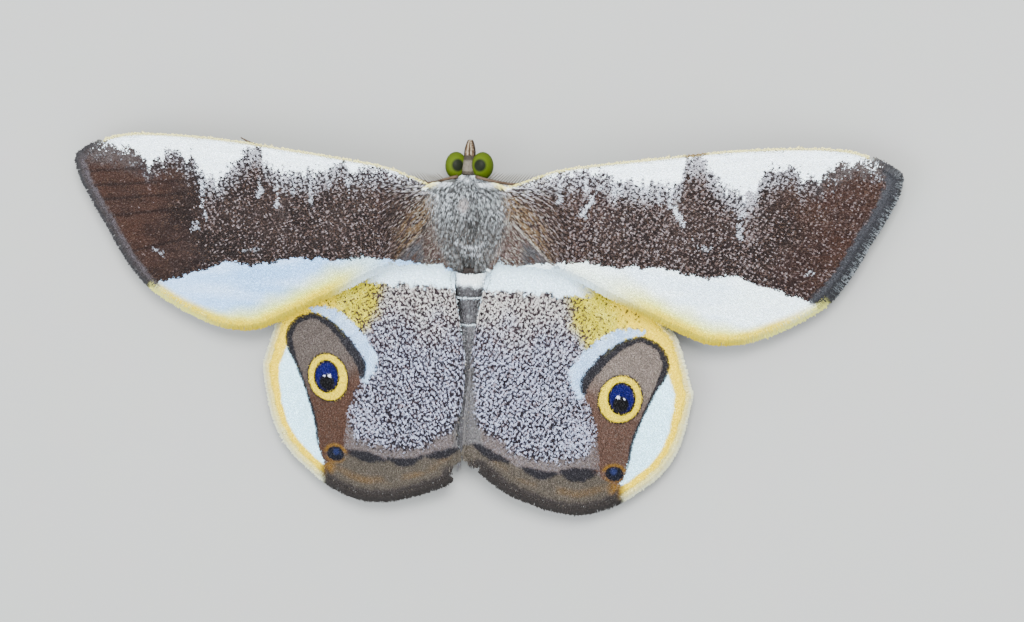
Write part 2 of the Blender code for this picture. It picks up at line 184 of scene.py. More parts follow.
# each wing lies in its own plane, outward and forward from its hinge
wings = {
    "fore": {
        "pivot": (2, 0.5, 3.2), "droop": 6, "pitch": 3, "turn": -0.82, "flow": (-4, 0.6),
        "outline": [
            (0.21, 1.09), (1.16, 1.48), (2.8, 1.99), (4.96, 2.32), (8.17, 2.71), (11.37, 3.08), (13.51, 3.24),
            (15.64, 3.32), (17.76, 3.26), (19.33, 2.9), (20.6, 2.3), (21.12, 1.75), (20.85, 0.6), (20.21, -0.62),
            (19.28, -2.17), (18.55, -3.46), (17.83, -4.46), (17.02, -5.33), (16.02, -6), (14.51, -6.78), (12.7, -7.41),
            (10.84, -7.47), (9.19, -6.86), (5.9, -5.25), (2.9, -3.72), (1.2, -3.35), (-0.4, -3.2), (-0.75, -2.4),
            (-0.9, -0.8), (-0.8, 0.3), (-0.4, 1),
        ],
        "coatDepth": 0.1, "thick": 0.09, "rows": (0.063, 0.055), "scale": (0.127, 0.072, 0.026),
    },
    "hind": {
        "pivot": (2, -1.5, 2.1), "droop": 5.5, "pitch": 2, "turn": -3.27, "flow": (1.6, 3.5), "reach": both(1, 0.985),
        "outline": [
            (0.5, 0.4), (2.6, 0.25), (4.8, -0.7), (6.9, -2.3), (8.55, -4.2), (9.23, -5.03), (10.05, -7.47),
            (10.15, -8.3), (9.62, -10.82), (8.73, -12.4), (7.7, -13.36), (6.05, -14.5), (4.44, -15.02), (3.2, -15.02),
            (1.98, -14.79), (-0.25, -13.94),
        ],
        "inner": {
            "left": [
                (-15.15, 0.3), (-14.8, 0.04), (-14.05, 0.05), (-13.75, -0.34), (-13.4, -0.38), (-12.9, -0.12),
                (-12.4, 0.04), (-11.4, 0), (-10.5, -0.12), (-9.7, -0.15), (-8.8, -0.12), (-7.9, -0.02), (-7.2, 0.15),
                (-6.25, 0.4), (-5.4, 0.56), (-4.7, 0.72), (-4.15, 0.82), (-3.6, 0.9),
            ],
            "right": [
                (-13.6, 0.58), (-13, 0.5), (-12.4, 0.4), (-11.4, 0.34), (-10, 0.36), (-9, 0.38), (-8, 0.38),
                (-7.2, 0.42), (-6.2, 0.47), (-4.7, 0.7), (-4.15, 0.78), (-3.6, 0.84),
            ],
        },
        "root": [(0.9, -2.8), (1, -1.4)], "coatDepth": 0.1, "thick": 0.09, "rows": (0.0575, 0.052),
        "scale": (0.113, 0.067, 0.024),
    },
    "under": {"spread": 2.4, "inset": 0.42, "bare": 0.12, "tone": (0.26, 0.235, 0.19), "cover": 0.6},
    "top": {"spread": 1, "inset": 0.28, "bare": 0.04}, "membrane": {"cell": 0.16, "inset": 0.27, "bare": 0.1},
    "vary": {"turn": 0.15, "size": 0.12, "lift": 0.2, "tint": 0.16}, "sink": 0.008, "tipAt": 0.75,
}
bodyAxis = np.array([
    (-14.3, -1.66), (-10.5, -1.17), (-8, -0.85), (-6.3, -0.62), (-4.3, -0.48), (-3, -0.25), (-0.7, -0.12), (1, -0.25),
    (2.3, -0.42), (3.4, -0.45),
])
fringes = {
    "fore": {"from": (19.6, 2.85), "to": (2.4, -3.6), "inset": 0.4, "back": 0.05, "width": 0.052},
    "hind": {"from": (7.6, -3), "to": (-1.6, -13.2), "inset": 0.33, "back": 0.03, "width": 0.052},
    "step": 0.02, "rows": 4, "short": 0.66, "sink": 0.035, "rise": (0.012, 0.025), "dip": -0.02, "cover": 0.85,
    "lift": (0.012, 0.01), "vary": {"reach": 0.035, "turn": 0.09, "width": 0.2}, "turn": both(16.8, 17),
    "tones": {
        "tipDusk": (0.017, 0.014, 0.0125), "tip": (0.026, 0.0255, 0.0275), "tipPale": (0.23, 0.26, 0.28),
        "tipCosta": (0.2, 0.19, 0.15), "trail": (0.76, 0.76, 0.18), "trailGold": (0.52, 0.39, 0),
    },
}


def axisAt(y):
    return np.interp(y, bodyAxis[:, 0], bodyAxis[:, 1])


def wingMatrix(kind, label):
    w, side = wings[kind], sides[label]
    turns = ((w["turn"], "Z"), (side * w["droop"], "Y"), (w["pitch"], "X"))
    z, y, x = (Matrix.Rotation(math.radians(angle), 4, axis) for angle, axis in turns)
    px, py, pz = w["pivot"]
    return Matrix.Translation((side * px + shift[0], py + shift[1], pz)) @ z @ (y @ x)


def wingOutline(kind, label):
    side, w = sides[label], wings[kind]
    points = list(w["outline"])
    if kind == "hind":
        inverse = wingMatrix(kind, label).inverted()
        edge = [(axisAt(y) + side * gap, y) for y, gap in w["inner"][label]]
        edge += [(side * x + axisAt(y), y) for x, y in w["root"]]
        points = [(x * w["reach"][label], y) for x, y in points]
        for x, y in edge:
            z = w["pivot"][2] - math.tan(math.radians(w["droop"])) * (side * x - w["pivot"][0])
            local = inverse @ Vector((x + shift[0], y + shift[1], z))
            points.append((side * local.x, local.y))
    return smoothLine(points + [points[0]], 0.2)[:-1]


outlines = {(kind, label): wingOutline(kind, label) for kind in ("fore", "hind") for label in sides}


def nearPoint(outline, spot):
    return int(np.argmin(np.hypot(*(outline - spot).T)))


# the fringed part of the edge, then the bare part
def edgeParts(kind, label):
    outline = outlines[kind, label]
    a, b = (nearPoint(outline, fringes[kind][end]) for end in ("from", "to"))
    return outline[a:b + 1], np.concatenate([outline[b:], outline[:a + 1]])


def onWing(p, kind, label, space):
    fringed, bare = (lineDistance(p, part) for part in edgeParts(kind, label))
    return insideLoop(p, outlines[kind, label]) & (fringed > space["inset"]) & (bare > space["bare"])


# points, directions and normals carried from a wing's plane to its place
def wingPlace(kind, label, p, height, d=((0, 0),), rise=0, sign=1):
    m = np.array(wingMatrix(kind, label))
    parts = (columns(*p.T, height), columns(*np.transpose(d), rise), np.tile([0, 0, sign], (len(p), 1)))
    root, along, up = ((q * [sides[label], 1, 1]) @ m[:3, :3].T for q in parts)
    return root + m[:3, 3], along, up


# a grid's neighbours up to a reach away, one layer for each
def neighbours(grid, reach, **fill):
    padded = np.pad(grid, reach, **fill)
    nx, ny = grid.shape
    steps = range(2 * reach + 1)
    return np.stack([padded[a:a + nx, b:b + ny] for a in steps for b in steps])


relief = {"cell": 0.2, "before": 12, "after": 6, "above": 9, "veins": 0.22}


# height of the CAD wing's upper face, so that the coat follows its veins
def heightGrid(kind, label):
    cell = relief["cell"]
    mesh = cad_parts[kind + "wing_" + label].data
    co = np.empty(len(mesh.vertices) * 3)
    mesh.vertices.foreach_get("co", co)
    m = np.array(wingMatrix(kind, label).inverted())
    local = (co.reshape(-1, 3) / mm) @ m[:3, :3].T + m[:3, 3]
    local[:, 0] *= sides[label]
    tree = BVHTree.FromPolygons([tuple(v) for v in local], [tuple(p.vertices) for p in mesh.polygons])
    low = local[:, :2].min(0) - relief["before"] * cell
    shape = np.ceil((local[:, :2].max(0) + relief["after"] * cell - low) / cell).astype(int) + 1
    grid = np.full(shape, np.nan)
    for i, j in np.ndindex(*shape):
        start = Vector((low[0] + i * cell, low[1] + j * cell, relief["above"]))
        hit = tree.ray_cast(start, Vector((0, 0, -1)))[0]
        if hit is not None:
            grid[i, j] = hit.z
    while np.isnan(grid).any():
        near = neighbours(grid, 1, constant_values=np.nan)
        known = ~np.isnan(near)
        mean = np.where(known, near, 0).sum(0) / np.maximum(known.sum(0), 1)
        grid = np.where(np.isnan(grid) & known.any(0), mean, grid)
    plain = neighbours(neighbours(grid, 2, mode="edge").min(0), 2, mode="edge").mean(0)
    return low, plain + relief["veins"] * (grid - plain)


def topAt(kind, label, p):
    low, a = wingTops[kind, label]
    g = (p - low) / relief["cell"]
    i = np.clip(np.floor(g).astype(int), 0, np.array(a.shape) - 2)
    return between(np.clip(g - i, 0, 1), lambda dx, dy: a[i[:, 0] + dx, i[:, 1] + dy])


wingTops = {key: heightGrid(*key) for key in outlines}


# forewing markings: the brown field's upper and lower edges, pale streaks and colours
foreMarks = {
    "tornus": (17.02, -5.33), "bulge": (1.2, -3.35),
    "band": both((0.8, 0.4, 0.52, -5.5, -5.25), (1, 0.2, 0.74, -5.3, -5.05)),
    "fleckLimit": [(0, 0.6), (0.03, 0.42), (0.1, 0.3), (0.28, 0.15), (0.5, 0), (0.8, -0.25)], "glint": both(0.25, 0.5),
    "vein": both(0.6, 0.15), "rootLine": both(0.25, 0.8), "rootGlow": both(0.12, 0.32),
    "yellowFrom": both((3.4, 6.2), (4.6, 8)), "goldTo": both(15.8, 14.2), "costaMark": both(0.15, 0.9),
    "top": {
        "left": [
            (-1, 1), (0.33, 1.15), (2.04, 1.72), (3.4, 1.95), (4.2, 1.7), (4.93, 1.53), (5.2, 2.07), (5.79, 1.88),
            (6.68, 1.47), (7.84, 1.42), (9.3, 1.58), (9.87, 2.12), (10, 2.72), (10.75, 2.78), (10.95, 2.36),
            (11.35, 1.95), (11.77, 1.66), (12.57, 0.79), (13.15, 1.05), (13.73, 1.42), (14.12, 2.12), (14.43, 1.83),
            (14.76, 2.38), (15.6, 2.23), (16.1, 1.77), (16.71, 1.47), (17.28, 2.17), (18.46, 2.46), (20.5, 2.65),
        ],
        "right": [
            (-1, 1), (0.63, 1.22), (1.71, 1.62), (3.06, 1.85), (4.3, 1.8), (4.95, 1.83), (5.91, 1.41), (7.09, 1.26),
            (8.16, 1.33), (9.24, 1.18), (9.45, 1.89), (9.6, 2.75), (10.6, 2.8), (10.78, 2.28), (11.16, 1.58),
            (11.91, 1.05), (12.71, 0.68), (13.41, 1.23), (13.78, 2.05), (14.58, 2.22), (15.37, 2.18), (15.8, 1.64),
            (16.71, 1.55), (17.13, 2.09), (17.76, 2.37), (18.82, 2.54), (20.5, 2.4),
        ],
    },
    "low": [
        (-1, -3.6), (0.3, -3.4), (2.5, -3.17), (4.1, -3.1), (5.8, -3.36), (7, -3.32), (8.1, -3.3), (9.35, -3.58),
        (10.6, -3.88), (11.4, -3.75), (12.3, -3.68), (13.3, -4.05), (14, -4.3), (15.14, -4.77), (16.5, -5.07),
        (17.6, -5.3),
    ],
    "streaks": {
        "left": [
            ([(13.45, 1.3), (13.53, -0.6), (13.3, -1.2)], 0.09, 0.9), ([(13.9, -1.5), (14.04, -2.06)], 0.09, 0.7),
            ([(10.09, 1), (10.13, -0.22)], 0.07, 0.8), ([(9.09, 0.86), (9.13, -0.45)], 0.07, 0.75),
            ([(7.15, 1.2), (7.19, -0.2)], 0.05, 0.6), ([(5, 1.2), (4.9, 0.2)], 0.05, 0.6),
            ([(11.3, -3), (10.3, -2.9)], 0.03, 0.3), ([(8.1, 1.3), (8.15, 0.3)], 0.04, 0.5),
            ([(6.2, 1.3), (6.1, 0.4)], 0.04, 0.5), ([(16.5, -3.2), (16, -3.5)], 0.05, 0.45),
        ],
        "right": [
            ([(2.84, 1.4), (2.83, 0.2)], 0.08, 0.7), ([(4.14, 1.28), (4.51, 0.3), (4.02, -0.52)], 0.12, 0.8),
            ([(5.75, 1.3), (5.75, 0.5)], 0.1, 0.7), ([(6.18, 1.45), (6.18, 0.5)], 0.07, 0.7),
            ([(7.36, 1.45), (7.36, 0.75)], 0.14, 0.8), ([(8.16, 1.2), (8.16, 0.3)], 0.06, 0.6),
            ([(8.91, 1.25), (8.81, 0.09), (9.45, -0.83)], 0.1, 0.9),
            ([(9.93, -1.8), (10.3, -2.18), (10.9, -2.2)], 0.04, 0.5), ([(12.71, 0.68), (12.45, -1.6)], 0.1, 0.6),
            ([(5, 1.3), (4.7, 0.5)], 0.06, 0.6), ([(16.3, -3.4), (16.1, -3.7)], 0.07, 0.7),
        ],
    },
    "haze": [([(13.1, 1.2), (12.95, -1.8)], 0.62), ([(10.2, 3), (10.4, 1.2)], 0.75)],
    "veins": [
        [(14, 0.8), (20.3, 0.2)], [(14, -0.7), (19.6, -1.5)], [(13, -2.1), (18.4, -3.5)],
        [(14.5, 1.6), (20.4, 1)], [(14, 0.1), (20, -0.6)],
    ],
    "white": (0.82, 0.93, 1), "whiteShade": (0.66, 0.77, 0.9), "dark": (0.0062, 0.0043, 0.0043),
    # rear and rearShade are one white painted twice: lit on the right wing and shaded on the left, as painted light and
    # shade
    "rear": both((0.27, 0.5, 0.82), (0.76, 0.92, 1)),
    "rearShade": both((0.2, 0.42, 0.74), (0.62, 0.78, 0.92)),
    "brown": (0.0185, 0.0126, 0.0116), "red": (0.0285, 0.014, 0.01), "copper": (0.045, 0.027, 0.019),
    "pale": (0.165, 0.142, 0.148), "tan": (0.074, 0.051, 0.047), "slate": (0.018, 0.0175, 0.02),
    "gold": (0.64, 0.49, 0), "lemon": (0.68, 0.68, 0.01), "cream": (0.62, 0.56, 0.16), "ochre": (0.26, 0.17, 0),
    "streak": (0.47, 0.52, 0.6), "rim": both((0.03, 0.026, 0.026), (0.0172, 0.0176, 0.0205)),
    "rimPale": both((0.056, 0.05, 0.056), (0.029, 0.0305, 0.0355)), "tipBrown": (0.085, 0.04, 0.015),
    "apexGrey": (0.052, 0.046, 0.046), "rootOchre": (0.1, 0.064, 0.03), "rootGrey": (0.036, 0.038, 0.042),
    "rootPale": (0.19, 0.185, 0.165), "rootBrown": (0.04, 0.026, 0.022),
}


def foreTint(p, label):
    m = forSide(foreMarks, label)
    u, v = p.T
    n = len(p)
    onRight = label == "right"
    outline = outlines["fore", label]
    apex, tornus, bulge = np.argmax(outline[:, 0]), nearPoint(outline, m["tornus"]), nearPoint(outline, m["bulge"])
    stretches = ((0, apex - 2), (apex - 3, tornus + 1), (tornus, bulge))
    costaDistance, marginDistance, trailDistance = (lineDistance(p, outline[a:b]) for a, b in stretches)
    fray = 0.5 * wave(p * [1.4, 0.7], 0.3, 3) + 0.5 * wave(p * [1.2, 0.8], 0.1, 4) + gauss(0, 0.1, n)
    top = tableAt(u, m["top"]) + fray
    low = tableAt(u, m["low"]) + 0.2 * wave(p, 0.3, 5) + 0.16 * wave(p, 0.1, 6)
    depth = top - v
    roll = draw(n)
    clump = worms(p, 0.085, 20)
    # brown field with pale flecks, redder towards the tip
    speck = 0.27 - 0.1 * fade(u, 13, 15.5) if onRight else 0.015 + 0.15 * fade(u, 14.5, 11.5)
    speck = speck + (0.3 - 0.14 * fade(u, 6, 4)) * fade(depth, 1.9, 0.1) * fade(u, 17.5, 15.5)
    speck = speck + 0.05 * fade(u, 11, 2)
    for line, half in m["haze"]:
        speck = speck + 0.22 * fade(lineDistance(p, line), half, 0)
    limit = tableAt(speck, m["fleckLimit"])
    fleck = fade(clump - limit, -0.04, 0.04) * (roll < 0.9)
    frost = fade(depth, 1.5, 0.3) * fade(u, 17, 15)
    bright = fade(clump - limit, 0.05, 0.2) * (0.9 - 0.4 * fade(u, 13.5, 16))
    apical = fade(depth, 1.1 if onRight else 1.6, 0.1) * fade(u, 16.4, 18.4)
    glints = (roll < 0.25) * (clump > 0.12) * fade(np.abs(depth - 0.55), 0.4, 0.1) * fade(u, 16.2, 17.2)
    # the hind part of the root: ochre streaks, a pale line, then grey
    above = v + 1.05 * (u - 0.48) + 1.23
    streaky = grain(columns(above * 1.6, u * 0.5), 0.16, 21)
    root = fade(u, 3, 1.4)
    behind = fade(above, 0, -0.3) * root
    ochre = fade(streaky + 0.6 * clump, 0.35, 0.75) * fade(above, -0.05, 0.1) * fade(above, 2.3, 1.2) * root
    grey = fade(streaky, 0.1, 0.5) * fade(u + 0.4 * wave(p, 0.3, 22), 0.55, 0.95)

    def streak(line, half, strength):
        near = lineDistance(p, line) + 0.34 * wave(p * [1, 0.6], 0.14, 11) - 0.22 * clump
        return fade(near, half + 0.03, half - 0.06) * strength * (roll < 0.75)
    field = layers(
        m, "brown", ("red", fade(u, 13, 17.5) * (0.55 + 0.5 * grain(p * [0.5, 1], 0.9, 8))),
        ("dark", 0.6 * fade(grain(p * [0.7, 1], 1.3, 9), 0.3, 0.75) * fade(u, 17.6, 15)),
        ("dark", 0.45 * fade(v - low, 1.1, 0.2) + 0.35 * fade(grain(p * [0.5, 1.3], 0.35, 17), 0.5, 0.85)),
        ("dark", 0.45 * fade(clump, -0.02, -0.14) * (1 if onRight else fade(u, 15, 12))),
        ("copper", (roll < 0.1 + 0.2 * fade(u, 7, 1)) * 0.8),
        ("slate", fade(depth, 1.4, 0.2) * 0.7 * fade(u, 18.5, 16.5)), ("tan", fleck),
        ("pale", fleck * np.maximum(0.8 * frost, bright)), ("streak", fleck * frost * 0.45),
        ("apexGrey", 0.85 * apical), ("streak", glints * m["glint"]),
        *(("dark", m["vein"] * fade(lineDistance(p, vein), 0.13, 0.02) * fade(u, 14, 15.2)) for vein in m["veins"]),
        *(("streak", streak(*row)) for row in m["streaks"]),
        ("rootOchre", 0.75 * ochre), ("rootBrown", 0.7 * behind * (roll > 0.2)), ("rootGrey", 0.85 * behind * grey),
        ("rootPale", 0.6 * behind * (roll < 0.2) * fade(u, 1.1, 0.7)),
        ("rootPale", 0.75 * root * fade(above, -0.4, 0.4) * (roll < 0.16 + 0.14 * fade(u, 1.6, 0.6)) * (clump > -0.06)),
        ("rootPale", m["rootLine"] * fade(np.abs(above), 0.14, 0.05) * root * (roll < 0.75)))
    field = field * (1 + m["rootGlow"] * root)[:, None]
    # bluish white behind the field, painted lighter on the right wing than on the left as light and shade, running into
    # yellow at the hind edge
    reach = 0.62 + 1.25 * fade(u, 15.5, 9.5) * (0.8 + 0.4 * grain(p, 0.9, 14))
    a, b = m["yellowFrom"]
    golden = fade(trailDistance + 0.1 * grain(p, 0.3, 15), 0.95, 0.4) * fade(u, a + 1, b + 0.6)
    rear = layers(
        m, "rear", ("white", 0.35 * grain(p * [0.25, 1.2], 0.8, 12)),
        ("rearShade", 0.7 * fade(grain(p * [0.2, 1.6] + [0, 9], 0.7, 13), 0.45, 0.9)),
        ("lemon", 0.88 * fade(trailDistance, reach, reach * 0.3) * (0.25 * fade(u, 2.6, 3.6) + 0.75 * fade(u, a, b))),
        ("gold", golden * fade(u, 17.2, m["goldTo"])),
        ("ochre", 0.5 * fade(trailDistance, 0.42, 0.15) * fade(u, 13, 9) * fade(u, 5.5, 7.5)))
    # outer band and costal line
    wide, soft, dim, low0, low1 = m["band"]
    band = fade(marginDistance + 0.26 * wave(p, 0.16, 16), wide, wide - soft) * fade(v, low0, low1)
    edge = fade(costaDistance, 0.22, 0.12)
    return layers(
        m, "white", ("whiteShade", 0.35 * grain(p * [0.3, 1.6], 0.3, 7)),
        (field, (v < top) & (v > low)), (rear, v <= low),
        (np.outer(1 + 0.3 * fade(v, -4, 1), m["rim"]), band),
        ("rimPale", fade(np.abs(marginDistance - dim), 0.22, 0.08) * band * (0.5 + 0.5 * (roll < 0.6))),
        ("cream", 0.9 * edge * fade(u, 20.4, 19.4)),
        ("tipBrown", edge * fade(np.abs(u - 10.1), 0.8, 0.4) * m["costaMark"]))


# hindwing markings; the two wings differ by a small offset, and in their spot and dark lenses; their brown and dun are
# painted darker on the left wing, as shade
hindMarks = {
    "outerFrom": (8.55, -4.2), "innerWhite": both((-7.5, -5.5), (-4.6, -3.8)),
    "field": [
        (8, -4.2), (8.75, -6.35), (8.5, -7.3), (8, -8.1), (7.45, -9.35), (7, -10.6), (6.8, -11.6), (6.4, -13),
        (6.4, -15), (12, -15), (12, -4.2),
    ],
    "blend": [(4.5, -8.5), (4.9, -9.3), (5.15, -10.4), (5.2, -11.6), (5.3, -12.3)], "glint": (0.7, 0.75, 0.9),
    "smallBlue": (0.012, 0.018, 0.065), "offset": both((0.08, 0.08), (-0.08, -0.08)),
    "patchEdge": [(-6.4, 7), (-5.9, 4.7), (-4.8, 3.95), (-3.8, 3.6), (-3.2, 3.4), (-2.6, 2.9), (-1, 2.4)],
    "pepperLow": [
        (-2.4, -10.3), (-1.2, -10.7), (-0.3, -11.1), (0.6, -11.8), (2.1, -12.2), (4.4, -11.8), (5.1, -10.6),
    ],
    "column": [
        (4.15, -8.1), (4.2, -7.4), (4.98, -6.48), (5.93, -5.53), (6.6, -5.15), (7.25, -4.97), (8.2, -5.4),
        (8.72, -6.35), (8.45, -7.3), (8.05, -8), (7.45, -9.35), (7, -10.6), (6.8, -11.6), (6.45, -13), (5.45, -12.9),
        (5.2, -11.7), (5.15, -10.8), (4.9, -9.6), (4.6, -8.85),
    ],
    "loop": [
        (4.22, -8.05, 0.14), (4.3, -7.5, 0.29), (4.98, -6.55, 0.28), (5.93, -5.62, 0.24), (6.55, -5.24, 0.2),
        (7.25, -5.02, 0.18), (8.2, -5.45, 0.18), (8.62, -6.35, 0.22), (8.38, -7.2, 0.17), (7.95, -8.1, 0.1),
        (7.45, -9.35, 0.08), (7, -10.6, 0.08), (6.75, -12.2, 0.06),
    ],
    "crescent": [
        (7.3, -4.66, 0.1), (6.7, -4.72, 0.26), (5.9, -4.98, 0.38), (4.8, -5.8, 0.42), (3.95, -6.85, 0.42),
        (3.8, -7.5, 0.36), (4.05, -8.3, 0.16),
    ],
    "ring": ((6.23, -8.37), (1.14, 1.26)), "pupil": ((6.31, -8.33), (0.76, 0.92)),
    "core": ((6.27, -8.66), (0.46, 0.46)), "small": both((5.8, -12.56), (5.99, -12.62)),
    "grey": {
        "left": [(-13, 0.5), (-11.2, 0.28), (-10.2, 0.06), (-9.6, 0)],
        "right": [
            (-13, 1.4), (-11.1, 1.08), (-10.2, 0.72), (-9.3, 0.5), (-8.4, 0.42), (-7, 0.14), (-5.5, 0.04), (-4.5, 0),
        ],
    },
    "limit": both(0.078, 0.048),
    "lenses": {
        "left": [
            ([(5.07, -12.34), (4.06, -12.57), (3.01, -12.64)], 0.22),
            ([(2.72, -12.55), (1.72, -12.68), (0.74, -12.24)], 0.17),
            ([(0.46, -12.15), (-0.29, -12.02), (-1.3, -11.6)], 0.19),
        ],
        "right": [
            ([(4.92, -12.58), (4, -12.85), (3.12, -12.75)], 0.3),
            ([(2.8, -12.83), (1.92, -12.98), (0.92, -12.62)], 0.19),
            ([(0.14, -12.33), (-0.86, -12.01), (-1.75, -11.5)], 0.19),
        ],
    },
    "white": (0.52, 0.84, 1), "topWhite": (0.66, 0.86, 1), "grainCream": (0.44, 0.43, 0.41),
    "grainLilac": (0.31, 0.34, 0.46), "grainPink": (0.15, 0.108, 0.11), "grainDark": (0.0085, 0.0068, 0.0098),
    "maroon": (0.03, 0.017, 0.018), "yellow": (0.72, 0.52, 0), "sand": (0.36, 0.31, 0), "sandPale": (0.54, 0.48, 0.05),
    # brown and dun, on this line and the next: the left wing's are a darker copy of the right's, painted shade
    "taupe": (0.086, 0.072, 0.07), "brown": both((0.044, 0.022, 0.0145), (0.053, 0.029, 0.021)),
    "dun": both((0.062, 0.051, 0.045), (0.102, 0.083, 0.071)), "line": (0.0088, 0.0088, 0.0115),
    "ringYellow": (0.58, 0.44, 0), "blue": (0.0008, 0.0014, 0.052), "black": (0.0015, 0.0015, 0.002),
    "olive": (0.048, 0.041, 0.032), "orange": (0.11, 0.057, 0.01), "dusk": (0.021, 0.018, 0.017),
    "inner": (0.078, 0.076, 0.078), "crescentWhite": (0.25, 0.4, 0.62), "edge": (0.006, 0.005, 0.005),
    "navy": (0.004, 0.005, 0.009), "fringe": (0.66, 0.6, 0.2), "fringeEdge": (0.74, 0.76, 0.52),
}


